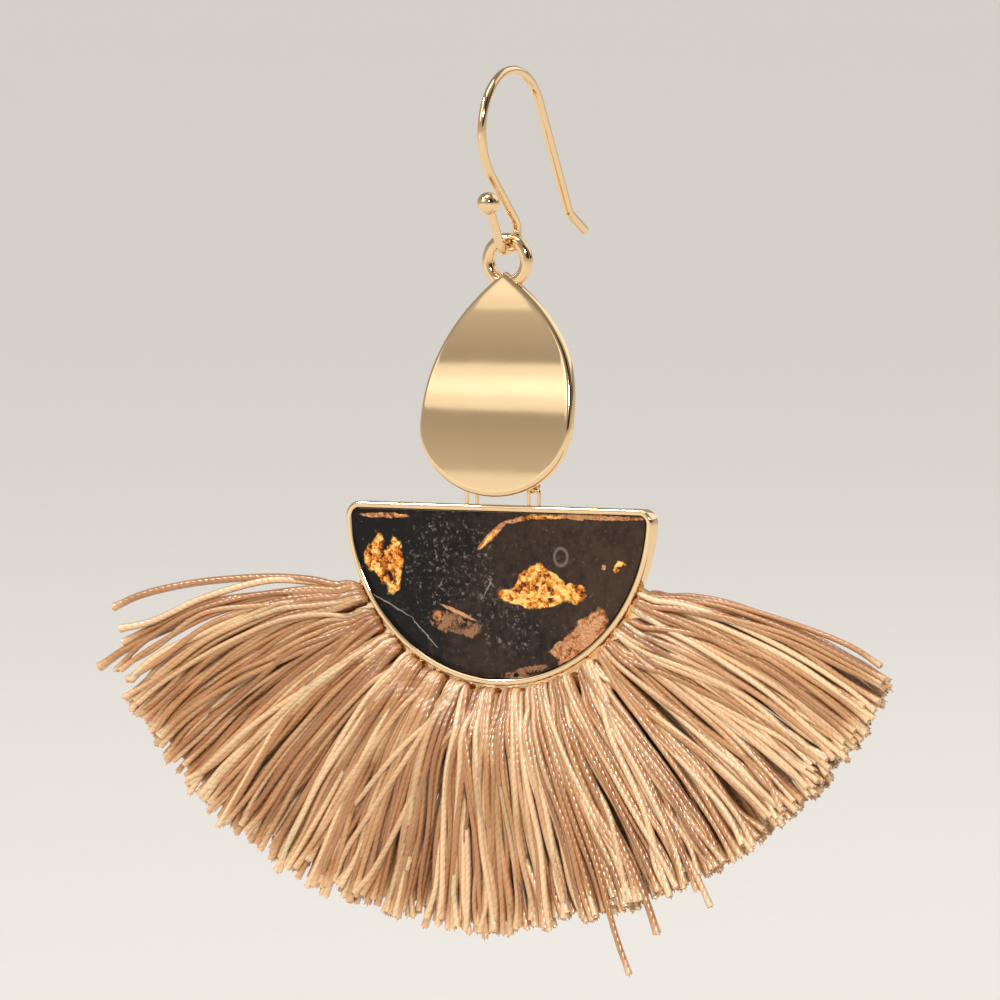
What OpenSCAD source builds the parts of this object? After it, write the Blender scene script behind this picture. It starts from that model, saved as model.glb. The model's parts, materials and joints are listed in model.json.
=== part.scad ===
// A drop earring: an ear wire, a waved teardrop plate, two jump rings, and a half-moon bezel that holds
// dark resin and a fan of threads.
// The origin is the underside of the ear wire's arch, where it rests in the ear.
// +X is right, +Y is back and +Z is up.

/* [Ear wire] */
// Diameter of the round wire
wire_d = 0.8; // [0.6:0.05:0.95]
// Radius of the arch, to the middle of the wire
arch_r = 5.3; // [4.6:0.1:5.8]
// Radius of the small loop, to the middle of the wire
loop_r = 1.65; // [1.5:0.05:1.9]
// Drop from the arch's centre to the loop's centre
loop_drop = 8.8; // [8.5:0.05:11]
// How far the loop's centre stands in front of the arch's centre
loop_forward = 0.85; // [0.3:0.05:1.2]
// Lean of the short leg that carries the ball
leg_lean = 29; // [15:1:35]
// Length of the short leg, to the ball's centre
leg_len = 3.9; // [3.4:0.1:5]
// Diameter of the ball
ball_d = 2; // [1.6:0.1:2.4]
// Slope of the tail away from the vertical
tail_lean = 28; // [10:1:32]
// Length of the tail's straight run
tail_len = 10.8; // [7:0.1:12]
// How much further the tip is bent outward
tip_bend = 32; // [10:1:40]
// Radius of the bend at the tip, to the middle of the wire
tip_bend_r = 1.4; // [1:0.1:2]
// Length of the bent tip
tip_len = 2.7; // [1.5:0.1:3.5]

/* [Teardrop plate] */
// Height of the plate
plate_h = 19.5; // [17:0.25:22]
// Width of the plate
plate_w = 15.1; // [13:0.1:17]
// Thickness of the plate
plate_t = 1; // [0.8:0.05:1.2]
// Where the plate is widest, as a share of its height from the tip
plate_widest = 0.68; // [0.6:0.01:0.72]
// How bluntly the sides leave the tip
plate_blunt = 2.5; // [1.8:0.1:3]
// Height of the wave across the plate
plate_wave = 0.4; // [0.1:0.05:0.5]
// Backward bow of the plate between its tip and its foot, as four times the bow's depth
plate_bow = 0.7; // [0:0.05:1]
// How far the plate's tip stands in front of the ring's middle
tip_forward = 0.4; // [0.3:0.05:0.6]
// How far the plate's foot stands in front of the ring's middle
foot_forward = 2.4; // [1.8:0.05:2.6]
// How far the tip shows inside the ring
tip_rise = 0.4; // [0:0.05:0.4]
// Thickness of the ring at the top
ring_tube = 1.15; // [0.9:0.05:1.25]
// Radius of the ring, to the middle of its tube
ring_r = 1.9; // [1.75:0.05:2.2]
// Play between the ring and the ear wire
ring_play = 0.08; // [0.04:0.01:0.12]

/* [Jump rings] */
// Radius of a jump ring, to the middle of its wire
link_r = 0.8; // [0.76:0.01:0.95]
// Wire of a jump ring
link_wire = 0.4; // [0.36:0.02:0.5]
// Distance of each jump ring from the middle
link_x = 3.1; // [2:0.1:4]
// Play between a jump ring and the eyes that it joins
link_play = 0.04; // [0.03:0.01:0.06]
// Gap between the teardrop's back and the jump rings
link_back_gap = 0.1; // [0.08:0.01:0.2]
// Wire of the eyes that the jump rings pass through
eye_wire = 0.34; // [0.3:0.02:0.44]
// Radius of an eye, to the middle of its wire
eye_r = 0.5; // [0.46:0.02:0.7]

/* [Half-moon bezel] */
// Radius of the half-moon's round side
moon_r = 15.4; // [13:0.1:18]
// Height of the straight edge above the centre of the round side
chord_rise = 0.35; // [0.1:0.05:2]
// Radius of the two corners
corner_r = 1.3; // [1:0.1:2]
// Depth of the bezel from front to back
moon_depth = 1.3; // [1.2:0.05:2.4]
// Thickness of the bezel's wall
wall_t = 0.6; // [0.45:0.05:0.8]
// Thickness of the back plate
back_t = 0.4; // [0.3:0.05:0.6]
// Gap between the teardrop's foot and the straight edge
moon_gap = 0.75; // [0.5:0.05:0.9]
// Height of the eyes' tops above the straight edge, to the middle of their wire
eye_rise = 1.6; // [1.4:0.05:1.8]
// Distance of the eyes from the bezel's back
eye_inset = 0.3; // [0.25:0.05:0.6]
// How far the resin lies below the rim
resin_recess = 0.1; // [0.05:0.05:0.3]
// Gap between the resin and the metal
resin_gap = 0.04; // [0.02:0.01:0.1]

/* [Pierced flange] */
// Width of the flange beyond the bezel
flange_w = 2.1; // [1.9:0.05:2.6]
// Thickness of the flange
flange_t = 0.6; // [0.4:0.05:0.8]
// Diameter of the holes that hold the thread bundles
hole_d = 1.3; // [1:0.05:1.4]
// Distance of the holes' centres beyond the bezel
hole_out = 1.05; // [0.95:0.05:1.2]
// Number of holes, each with a bundle of threads
bundles = 14; // [10:1:15]
// Angle of the first bundle below the straight edge
fan_from = 29; // [25:1:34]
// How far the flange goes on past its end holes, as a share of the holes' pitch
flange_past = 0.42; // [0.4:0.01:0.55]

/* [Fringe] */
// Reach of the threads straight down, from the centre of the round side
fan_drop = 37; // [32:0.1:42]
// Extra reach of the threads at the sides
fan_extra = 5.8; // [0:0.1:9]
// How much shorter the threads are at the lower right
fan_uneven = 1.4; // [0:0.1:2]
// How much the fan opens between the flange and the ends
fan_open = 1.06; // [1:0.01:1.12]
// How high the side threads arch before they droop
fan_arch = 3; // [0:0.1:5]
// How much higher the topmost threads on the left arch
fan_lift = 5.3; // [0:0.1:6]
// Number of locks in each bundle
locks = 4; // [3:1:5]
// Thickness of the fringe where it leaves the flange
fringe_head_t = 2.2; // [1.9:0.1:2.8]
// Thickness of the fringe at its ends
fringe_end_t = 2.5; // [1.9:0.1:3.5]
// How much the locks' lengths differ
lock_ragged = 0.9; // [0:0.1:1.5]
// Clearance between the threads and the metal
thread_gap = 0.1; // [0.05:0.01:0.15]
// Diameter of a loose thread
stray_d = 0.6; // [0.5:0.05:0.8]

/* [Hidden] */

gold = "#d9b56c";
resin = "#2a1c14";
thread = "#d2a67c";

// The ear wire lies in the plane x = 0. Its points are pairs of depth (Y) and height (Z).
arch_c = [0, wire_d / 2 - arch_r];
loop_c = [-loop_forward, arch_c[1] - loop_drop];
to_arch = arch_c - loop_c;
cross_angle = atan2(to_arch[1], to_arch[0]) - acos((arch_r + loop_r) / norm(to_arch));
leg_angle = 180 + leg_lean;

// The ring hangs on the loop's lowest point.
hang_y = loop_c[0];
hang_z = loop_c[1] - loop_r;
ring_z = hang_z + wire_d / 2 + ring_play + ring_tube / 2 - ring_r;
tip_z = ring_z - ring_r + ring_tube / 2 + tip_rise;
foot_z = tip_z - plate_h;

// The half-moon hangs below the teardrop on two jump rings.
moon_top_z = foot_z - moon_gap;
moon_z = moon_top_z - chord_rise;
eye_z = moon_top_z + eye_rise;
link_hold = link_r - link_wire / 2 - eye_wire / 2 - link_play;
link_z = eye_z + link_hold;
staple_z = link_z + link_hold;
plate_back_y = plate_mid_y((tip_z - staple_z) / plate_h) + plate_t / 2;
link_y = plate_back_y + link_back_gap + link_r + link_wire / 2;
moon_back_y = link_y + eye_inset;
moon_front_y = moon_back_y - moon_depth;
root = 0.25;       // how deep a soldered foot sits in what carries it
corner_min = 0.2;  // smallest radius of a corner that is drawn in
cut_over = 1;      // how far a cutter reaches past what it cuts

// The flange is flush with the bezel's back, and the fringe is centred on it.
flange_front_y = moon_back_y - flange_t;
fringe_y = moon_back_y - flange_t / 2;
hole_r = moon_r + hole_out;
flange_r = moon_r + flange_w;
fan_step = (180 - 2 * fan_from) / (bundles - 1);
flange_end = fan_from - fan_step * flange_past;
head_r = flange_r + thread_gap;
lock_clear = 0.15; // how far beyond the head's edge the locks start
lock_r = head_r + lock_clear;
head_lap = 0.4;    // how far the head reaches over the locks
head_inner_r = hole_r - hole_d / 2;
head_t = (fringe_head_t - flange_t) / 2; // thickness of the threads in front of the flange and behind it
knot_flare = 1.3; // how much a bundle widens from its hole to the locks

outline_step = 4;  // degrees between points on the round side
corner_steps = 6;  // points on each corner
wave_steps = 20;   // sections across the plate's wave
drop_steps = 22;   // points on each side of the teardrop, above and below its widest
loop_steps = 16;   // sections round the ear wire's loop, arch and bend
arch_steps = 20;
bend_steps = 3;
wire_sides = 12;
lock_sides = 6;
lock_rings = 5;
stray_sides = 6;

// The threads of the last bundle's outer half hang loose. Each row gives how far a thread's end lies
// across and down, as shares of the fan's side reach, where in the bundle it starts, as a share of the
// bundle's pitch, and its arch, as a share of the fan's.
STRAY_ACROSS = 0;
STRAY_DOWN = 1;
STRAY_START = 2;
STRAY_ARCH = 3;
strays = [
    [0.920, 0.222, 0.48, 0.6],
    [0.895, 0.272, 0.40, 1.0],
    [0.900, 0.292, 0.30, 0.6],
    [0.960, 0.338, 0.22, 0.7],
    [0.874, 0.366, 0.10, 0.5]
];
loose_locks = 2;     // locks that the loose threads replace
bundle_pinch = 0.8;  // how much a bundle's locks draw together at the flange
lock_lap = 1.35;     // how much wider a lock is than its share of the fan
lock_stagger = 0.25; // how far the locks stand in front of or behind each other
arch_fade = 1.5;     // how quickly the arch of the locks fades towards the middle of the fan
lift_span = 1.8;     // bundles at the left end over which the topmost threads' lift grows

function polar(r, a) = [r * cos(a), r * sin(a)];

// Points along an arc, from one angle to another.
function arc_points(centre, r, from, to, steps) =
    [for (i = [0 : steps]) centre + polar(r, from + (to - from) * i / steps)];

// Middle of the plate's thickness at a share of its height from the tip.
function plate_mid_y(share) =
    hang_y - tip_forward - (foot_forward - tip_forward) * share
    + plate_bow * share * (1 - share) + plate_wave * sin(360 * share);

// Half of the plate's width at a share of its height from the tip.
function plate_half(share) = share < plate_widest
    ? plate_w / 2 * (1 - pow(1 - share / plate_widest, plate_blunt))
    : plate_w / 2 * sqrt(max(0, 1 - pow((share - plate_widest) / (1 - plate_widest), 2)));

// Shares of the height, closer together towards both ends of a side.
function side_shares() = concat(
    [for (i = [0 : drop_steps - 1]) plate_widest * (1 - cos(90 * i / drop_steps))],
    [for (i = [0 : drop_steps]) plate_widest + (1 - plate_widest) * sin(90 * i / drop_steps)]
);

// Outline of the half-moon, drawn in by an amount, as points from the right corner clockwise round the arc.
function moon_outline(inset) =
    let (
        r = moon_r - inset,
        top = chord_rise - inset,
        corner = max(corner_r - inset, corner_min),
        corner_z = top - corner,
        corner_x = sqrt(pow(r - corner, 2) - pow(corner_z, 2)),
        meet = atan2(corner_z, corner_x),
        arc_steps = ceil((180 + 2 * meet) / outline_step)
    )
    concat(
        arc_points([corner_x, corner_z], corner, 90, meet, corner_steps),
        [for (i = [1 : arc_steps - 1]) polar(r, meet - (180 + 2 * meet) * i / arc_steps)],
        arc_points([-corner_x, corner_z], corner, 180 - meet, 90, corner_steps)
    );

// The ear wire's route: ball, short leg, loop, crossing run, arch, tail and bent tip.
function wire_route() =
    let (
        ball = loop_c + polar(loop_r, leg_angle) + polar(leg_len, leg_angle - 90),
        tail_end = arch_c + polar(arch_r, tail_lean) + polar(tail_len, tail_lean - 90),
        bend_c = tail_end + polar(tip_bend_r, tail_lean),
        tip_angle = tail_lean + tip_bend,
        tip = bend_c + polar(tip_bend_r, 180 + tip_angle) + polar(tip_len, tip_angle - 90)
    )
    concat(
        [ball],
        arc_points(loop_c, loop_r, leg_angle, 360 + cross_angle, loop_steps),
        arc_points(arch_c, arch_r, 180 + cross_angle, tail_lean, arch_steps),
        arc_points(bend_c, tip_bend_r, 180 + tail_lean, 180 + tip_angle, bend_steps),
        [tip]
    );

// Round wire swept along a route in the plane x = 0, as one closed mesh.
module swept_wire(route, d, sides) {
    count = len(route);
    points = [
        for (k = [0 : count - 1])
            let (
                ahead = route[min(k + 1, count - 1)] - route[max(k - 1, 0)],
                along = ahead / norm(ahead)
            )
            for (j = [0 : sides - 1])
                let (a = -360 * j / sides, out = d / 2 * cos(a))
                [d / 2 * sin(a), route[k][0] - along[1] * out, route[k][1] + along[0] * out]
    ];
    polyhedron(points, tube_faces(count, sides));
}

// Faces of a closed tube whose rings follow each other in one list of points.
function tube_faces(rings, sides) =
    let (last = (rings - 1) * sides)
    concat(
        [[for (j = [0 : sides - 1]) sides - 1 - j]],
        [[for (j = [0 : sides - 1]) last + j]],
        [for (k = [0 : rings - 2]) for (j = [0 : sides - 1])
            let (n = (j + 1) % sides)
            [k * sides + j, k * sides + n, (k + 1) * sides + n, (k + 1) * sides + j]]
    );

module ear_wire() {
    route = wire_route();
    color(gold) {
        swept_wire(route, wire_d, wire_sides);
        translate([0, route[0][0], route[0][1]]) sphere(d = ball_d, $fn = 48);
    }
}

// A whole ring of round wire, flat in the plane z = 0.
module ring(r, tube) {
    rotate_extrude($fn = 64) translate([r, 0]) circle(d = tube, $fn = 24);
}

// A soldered eye: a half ring on two legs that rise along +Y from y = 0, with its top at the given height.
module eye(height) {
    leg = height - eye_r;
    translate([0, leg, 0])
        rotate_extrude(angle = 180, $fn = 48) translate([eye_r, 0]) circle(d = eye_wire, $fn = 24);
    for (side = [-1, 1])
        translate([side * eye_r, -root, 0])
            rotate([-90, 0, 0]) cylinder(h = leg + root, d = eye_wire, $fn = 24);
}

// The teardrop's outline, pulled through from front to back, cut out of a waved slab.
module teardrop_plate() {
    sides = side_shares();
    outline = concat(
        [for (s = sides) [plate_half(s), tip_z - s * plate_h]],
        [for (i = [len(sides) - 2 : -1 : 1]) [-plate_half(sides[i]), tip_z - sides[i] * plate_h]]
    );
    margin = 0.02;
    shares = [for (i = [0 : wave_steps]) -margin + (1 + 2 * margin) * i / wave_steps];
    middle = [for (s = shares) [plate_mid_y(s), tip_z - s * plate_h]];
    slab = concat(
        [for (i = [0 : wave_steps]) middle[i] - [plate_t / 2, 0]],
        [for (i = [wave_steps : -1 : 0]) middle[i] + [plate_t / 2, 0]]
    );
    reach = foot_forward + plate_wave + plate_t;
    color(gold) {
        intersection() {
            translate([0, hang_y + plate_t, 0])
                rotate([90, 0, 0]) linear_extrude(height = reach + 2 * plate_t) polygon(outline);
            rotate([90, 0, 90]) linear_extrude(height = plate_w + cut_over, center = true) polygon(slab);
        }
        translate([0, hang_y, ring_z]) rotate([90, 0, 0]) ring(ring_r, ring_tube);
        for (side = [-1, 1])
            translate([side * link_x, plate_back_y, staple_z]) eye(link_y - plate_back_y);
    }
}

module link(side) {
    color(gold) translate([side * link_x, link_y, link_z]) rotate([0, 90, 0]) ring(link_r, link_wire);
}

module link_left() { link(-1); }
module link_right() { link(1); }

// A prism of the half-moon's outline, drawn in by an amount, between two depths.
module moon_prism(inset, front, back) {
    translate([0, back, moon_z])
        rotate([90, 0, 0]) linear_extrude(height = back - front) polygon(moon_outline(inset));
}

// Turns to each bundle of the fan, and puts its children at a radius, facing outward along +X.
module at_bundles(r) {
    for (i = [0 : bundles - 1])
        translate([0, 0, moon_z]) rotate([0, fan_from + i * fan_step, 0]) translate([r, 0, 0]) children();
}

// A band round the lower arc, from one radius to another, between two depths.
module arc_band(inner, outer, front, back, from) {
    translate([0, back, moon_z]) rotate([90, 0, 0]) rotate([0, 0, 180 + from])
        rotate_extrude(angle = 180 - 2 * from, $fn = 128)
            translate([inner, 0]) square([outer - inner, back - front]);
}

module half_moon_bezel() {
    color(gold) {
        difference() {
            moon_prism(0, moon_front_y, moon_back_y);
            moon_prism(wall_t, moon_front_y - cut_over, moon_back_y - back_t);
        }
        difference() {
            arc_band(moon_r - wall_t / 2, flange_r, flange_front_y, moon_back_y, flange_end);
            at_bundles(hole_r) rotate([90, 0, 0]) translate([0, 0, -moon_back_y - cut_over])
                cylinder(h = flange_t + 2 * cut_over, d = hole_d, $fn = 32);
        }
        for (side = [-1, 1])
            translate([side * link_x, link_y, moon_top_z]) rotate([90, 0, 0]) eye(eye_rise);
    }
}

module resin_inlay() {
    color(resin)
        moon_prism(wall_t + resin_gap, moon_front_y + resin_recess, moon_back_y - back_t - resin_gap);
}

// Reach of the fan's outline at an angle below the straight edge, from the right.
function fan_reach(a) = fan_drop + fan_extra * pow(abs(cos(a)), 2) - fan_uneven * max(0, sin(2 * a));

// A repeatable variation between -1 and 1.
function vary(n) = sin(n * 137.5);

// A point on the curve of a lock or loose thread, which leaves the flange, arches and droops.
function droop(start, end, arch, t) =
    let (middle = (start + end) / 2 + [0, arch])
    pow(1 - t, 2) * start + 2 * t * (1 - t) * middle + t * t * end;

// Arch of a lock that opens at an angle, from a place counted in bundles from the right.
function lock_arch(a, place) =
    fan_arch * pow(abs(cos(a)), arch_fade) + fan_lift * max(0, 1 - (bundles - 0.5 - place) / lift_span);

// A tapered strand along the curve, closed at both ends, with its cross-section an upright oval.
module strand(start, end, arch, width, thick, depth, sides) {
    points = [
        for (k = [0 : lock_rings - 1])
            let (
                t = k / (lock_rings - 1),
                p = droop(start, end, arch, t),
                ahead = droop(start, end, arch, t + 0.01) - droop(start, end, arch, t - 0.01),
                along = ahead / norm(ahead),
                half_w = (width[0] + (width[1] - width[0]) * t) / 2,
                half_t = (thick[0] + (thick[1] - thick[0]) * t) / 2
            )
            for (j = [0 : sides - 1])
                let (a = 360 * (j + 0.5) / sides, across = half_w * cos(a))
                [p[0] - along[1] * across, depth + half_t * sin(a), moon_z + p[1] + along[0] * across]
    ];
    polyhedron(points, tube_faces(lock_rings, sides));
}

// One lock of a bundle. Its place in the bundle runs from -0.5 to 0.5.
module lock(bundle, place, number) {
    root_a = fan_from + (bundle + place * bundle_pinch) * fan_step;
    open_a = 90 + (fan_from + (bundle + place) * fan_step - 90) * fan_open;
    reach = fan_reach(open_a) + lock_ragged * vary(number);
    lock_turn = fan_step / locks * PI / 180 * lock_lap;
    strand(polar(lock_r, -root_a), polar(reach, -open_a), lock_arch(open_a, bundle + place),
        [lock_turn * lock_r, lock_turn * fan_open * reach],
        [fringe_head_t, fringe_end_t], fringe_y + lock_stagger * vary(number + 5), lock_sides);
}

// The part of a bundle that passes through its hole and lies over the flange's front.
module knot() {
    front = flange_front_y - thread_gap;
    knot_w = hole_d - 2 * thread_gap;
    hull() {
        translate([0, front, 0]) rotate([90, 0, 0]) cylinder(h = head_t, d = knot_w, $fn = 16);
        translate([lock_r - hole_r, front, 0])
            rotate([90, 0, 0]) cylinder(h = head_t, d = knot_w * knot_flare, $fn = 16);
    }
    translate([0, front - head_t / 2, 0]) rotate([-90, 0, 0])
        cylinder(h = flange_t + 2 * thread_gap + head_t, d = knot_w, $fn = 24);
}

module fringe() {
    across = fan_drop + fan_extra;
    back = moon_back_y + thread_gap;
    color(thread) {
        arc_band(head_inner_r, head_r + head_lap, back, back + head_t, flange_end);
        at_bundles(hole_r) knot();
        for (b = [0 : bundles - 1]) for (k = [0 : locks - 1])
            if (b < bundles - 1 || k < locks - loose_locks)
                lock(b, (k + 0.5) / locks - 0.5, b * locks + k);
        for (s = strays)
            strand(polar(lock_r, 180 + fan_from - s[STRAY_START] * fan_step),
                [-s[STRAY_ACROSS], -s[STRAY_DOWN]] * across, fan_arch * s[STRAY_ARCH],
                [stray_d, stray_d], [stray_d, stray_d], fringe_y, stray_sides);
    }
}

ear_wire();
teardrop_plate();
link_left();
link_right();
half_moon_bezel();
resin_inlay();
fringe();
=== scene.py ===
# Dresses the frame of a drop earring: polished gold-coloured metal, dark resin with foil, and a fan of
# twisted threads. Lengths are in metres, +X is right, +Y is back and +Z is up.
import json
import math
import random

import bmesh
import bpy
import numpy as np
from bpy.props import FloatProperty, FloatVectorProperty, IntProperty, PointerProperty
from bpy.types import Operator, Panel, PropertyGroup
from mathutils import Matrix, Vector


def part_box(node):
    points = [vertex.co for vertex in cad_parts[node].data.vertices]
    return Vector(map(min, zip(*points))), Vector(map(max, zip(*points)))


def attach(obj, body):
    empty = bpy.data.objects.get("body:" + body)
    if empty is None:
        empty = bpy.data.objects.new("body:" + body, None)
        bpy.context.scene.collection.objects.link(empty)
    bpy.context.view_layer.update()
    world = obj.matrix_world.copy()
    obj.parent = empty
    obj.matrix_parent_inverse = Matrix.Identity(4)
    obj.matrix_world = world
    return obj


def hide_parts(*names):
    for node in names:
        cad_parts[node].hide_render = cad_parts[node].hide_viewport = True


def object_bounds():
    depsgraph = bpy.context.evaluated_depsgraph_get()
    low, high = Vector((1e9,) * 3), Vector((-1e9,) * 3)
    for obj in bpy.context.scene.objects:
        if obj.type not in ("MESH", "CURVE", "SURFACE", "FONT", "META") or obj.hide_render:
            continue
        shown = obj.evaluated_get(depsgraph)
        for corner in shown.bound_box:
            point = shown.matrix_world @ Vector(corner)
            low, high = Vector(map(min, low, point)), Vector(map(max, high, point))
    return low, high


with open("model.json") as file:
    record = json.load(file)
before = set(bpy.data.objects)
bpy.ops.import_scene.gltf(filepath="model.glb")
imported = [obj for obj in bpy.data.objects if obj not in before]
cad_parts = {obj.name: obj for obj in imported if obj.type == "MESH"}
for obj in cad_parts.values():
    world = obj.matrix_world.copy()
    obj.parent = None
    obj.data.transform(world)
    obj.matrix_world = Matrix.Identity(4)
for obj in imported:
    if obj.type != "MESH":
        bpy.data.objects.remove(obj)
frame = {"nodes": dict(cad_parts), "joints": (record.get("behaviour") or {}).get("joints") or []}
cad_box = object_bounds()

bl_info = {
    "name": "Tassel earring",
    "version": (1, 0, 0),
    "blender": (4, 5, 0),
    "location": "3D View > Sidebar > Earring",
    "description": "Builds the finished pieces of a drop earring with a fan of threads",
    "category": "Object",
}

MM = 0.001
BOXES = {node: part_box(node) for node in frame["nodes"]}


# Settings

def linear(hex_code):
    """Linear colour from an sRGB hex value."""
    channels = [int(hex_code[i : i + 2], 16) / 255 for i in (1, 3, 5)]
    return tuple(c / 12.92 if c <= 0.04045 else ((c + 0.055) / 1.055) ** 2.4 for c in channels)


def size(name, description, millimetres):
    """A length in the panel, given in millimetres and kept in metres."""
    return FloatProperty(
        name=name, description=description, default=millimetres * MM, min=0, precision=5,
        unit="LENGTH", subtype="DISTANCE",
    )


def turn(name, description, degrees):
    """An angle in the panel, given in degrees and kept in radians."""
    return FloatProperty(
        name=name, description=description, default=math.radians(degrees), unit="ROTATION", subtype="ANGLE",
    )


def share(name, description, value):
    """A plain factor in the panel."""
    return FloatProperty(name=name, description=description, default=value, min=0, precision=3)


def whole(name, description, value, least):
    """A whole number in the panel."""
    return IntProperty(name=name, description=description, default=value, min=least)


def colour(name, description, hex_code):
    """A colour in the panel, given as an sRGB hex value."""
    return FloatVectorProperty(
        name=name, description=description, default=linear(hex_code), min=0, max=1, subtype="COLOR",
    )


class EarWireSettings(PropertyGroup):
    wire_d: size("Wire", "Diameter of the round wire", 0.8)
    arch_r: size("Arch radius", "Radius of the arch, to the middle of the wire", 5.3)
    loop_r: size("Loop radius", "Radius of the small loop, to the middle of the wire", 1.65)
    leg_lean: turn("Leg lean", "Lean of the short leg that carries the ball", 29)
    leg_len: size("Leg", "Length of the short leg, to the ball's centre", 3.9)
    ball_d: size("Ball", "Diameter of the ball", 2)
    tail_lean: turn("Tail lean", "Slope of the tail away from the vertical", 28)
    tail_len: size("Tail", "Length of the tail's straight run", 10.8)
    tip_bend: turn("Tip bend", "How much further the tip is bent outward", 32)
    tip_bend_r: size("Bend radius", "Radius of the bend at the tip", 1.4)
    tip_len: size("Tip", "Length of the bent tip", 2.7)


class TeardropSettings(PropertyGroup):
    height: size("Height", "Height of the plate", 19.5)
    width: size("Width", "Width of the plate", 15.1)
    thick: size("Thickness", "Thickness of the plate", 1)
    widest: share("Widest at", "Where the plate is widest, as a share of its height from the tip", 0.68)
    blunt: share("Bluntness", "How bluntly the sides leave the tip", 2.5)
    wave: size("Wave", "Height of the wave across the plate", 0.4)
    bow: size("Bow", "Backward bow between tip and foot, as four times its depth", 0.7)
    tip_forward: size("Tip forward", "How far the tip stands in front of the ring's middle", 0.4)
    foot_forward: size("Foot forward", "How far the foot stands in front of the ring's middle", 2.4)
    front_round: size("Front edge", "Radius of the polished front edge", 0.42)
    back_round: size("Back edge", "Radius of the back edge", 0.2)
    ring_tube: size("Ring tube", "Thickness of the ring at the top", 1.15)
    ring_r: size("Ring radius", "Radius of the ring, to the middle of its tube", 1.9)


class JumpRingSettings(PropertyGroup):
    wire: size("Wire", "Wire of a jump ring", 0.4)
    split: size("Split", "Width of the cut where a jump ring is closed", 0.03)
    eye_wire: size("Eye wire", "Wire of the eyes that the jump rings pass through", 0.34)
    eye_r: size("Eye radius", "Radius of an eye, to the middle of its wire", 0.5)
    eye_rise: size("Eye rise", "Height of the lower eyes' tops above the straight edge", 1.6)


class HalfMoonSettings(PropertyGroup):
    radius: size("Radius", "Radius of the round side", 15.4)
    chord_rise: size("Chord rise", "Height of the straight edge above the round side's centre", 0.35)
    corner_r: size("Corner", "Radius of the two corners", 1.3)
    inner_corner: size("Inner corner", "Least radius of the corners inside the wall", 0.2)
    wall: size("Wall", "Thickness of the bezel's wall", 0.6)
    back: size("Back", "Thickness of the back plate", 0.4)
    rim_round: size("Rim rounding", "Radius of the wall's polished front edges", 0.24)
    flange_w: size("Flange width", "Width of the flange beyond the bezel", 2.1)
    flange_t: size("Flange thickness", "Thickness of the flange", 0.6)
    flange_edge: size("Flange edge", "Width of the flange's softened edges", 0.09)
    hole_d: size("Hole", "Diameter of the holes that hold the bundles", 1.3)
    hole_out: size("Hole distance", "Distance of the holes' centres beyond the bezel", 1.05)
    bundles: whole("Bundles", "Number of holes, each with a bundle", 14, 2)
    fan_from: turn("First bundle", "Angle of the first bundle below the straight edge", 29)
    flange_past: share("Flange end", "How far the flange goes past its end holes, in pitches", 0.42)


class ResinSettings(PropertyGroup):
    recess: size("Recess", "How far the resin lies below the rim", 0.1)
    gap: size("Gap", "Gap between the resin and the metal", 0.04)
    creep: size("Creep", "How far the resin climbs the wall", 0.06)
    creep_w: size("Creep width", "Width of the band where the resin climbs", 0.5)


class FringeSettings(PropertyGroup):
    thread_d: size("Thread", "Diameter of a thread", 0.54)
    twist: size("Twist", "Length of one full turn of the two plies", 1.35)
    folded: whole("Folded threads", "Threads folded through each hole", 30, 1)
    drop: size("Drop", "Reach of the threads straight down", 37)
    extra: size("Side reach", "Extra reach of the threads at the sides", 5.8)
    uneven: size("Uneven", "How much shorter the threads are at the lower right", 1.4)
    opening: share("Opening", "How much the fan opens between the flange and the ends", 1.06)
    arch: size("Arch", "How high the side threads arch before they droop", 3)
    lift: size("Lift", "How much higher the topmost threads on the left arch", 5.3)
    lift_span: share("Lift span", "Bundles at the left end over which the lift grows", 1.8)
    ragged: size("Ragged", "How much the locks' lengths differ", 0.3)
    uncut: size("Cut", "How unevenly the threads are cut", 0.45)
    back_short: size("Shorter behind", "How much shorter the threads behind are cut", 0.6)
    wander: size("Wander", "How far a thread wanders from its lock", 0.27)
    gather: share("Gather", "How closely the threads of a lock in front gather halfway", 0.15)
    crossing: share("Crossing", "Share of the threads that cross over their neighbours", 0.34)
    lean: share("Lean", "How far such threads lean across the fan, in bundles", 0.75)
    bulge: size("Bulge", "How far the threads in front puff out below the bezel", 1.5)
    # The paler cut end is partly loosened fibres and partly painted light that lifts the shaded ends.
    pale_tip: size("Pale tip", "Length over which a cut end loosens and turns paler", 2.2)
    fibre_d: size("Fibre", "Thickness of the fibres that fray out of a cut end", 0.15)
    fibre_len: size("Fray", "Greatest length of the frayed fibres", 0.42)
    head_w: size("Head width", "Width of a bundle's head beside its hole", 1.85)
    head_t: size("Head thickness", "Thickness of a bundle's head in front of the flange", 0.85)
    neck: share("Neck", "How much of its room a bundle fills at the flange's edge", 0.76)
    half_depth: size("Half depth", "Half of the fringe's thickness", 1.15)


class StageSettings(PropertyGroup):
    azimuth: turn("Azimuth", "Camera's turn to the right of the front", 30)
    elevation: turn("Elevation", "Camera's height above the horizon", 3)
    distance: size("Distance", "Camera's distance", 1200)
    view_w: size("View width", "Width that the camera sees at the earring", 87)
    target: FloatVectorProperty(
        name="Target", description="Point that the camera and the lights face",
        default=(0.03 * MM, -2.22 * MM, -36.94 * MM), precision=5, unit="LENGTH", subtype="XYZ",
    )
    floor_drop: size("Floor drop", "Floor's distance below the fringe", 22)
    floor_r: size("Floor radius", "Radius of the round floor", 9000)


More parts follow.
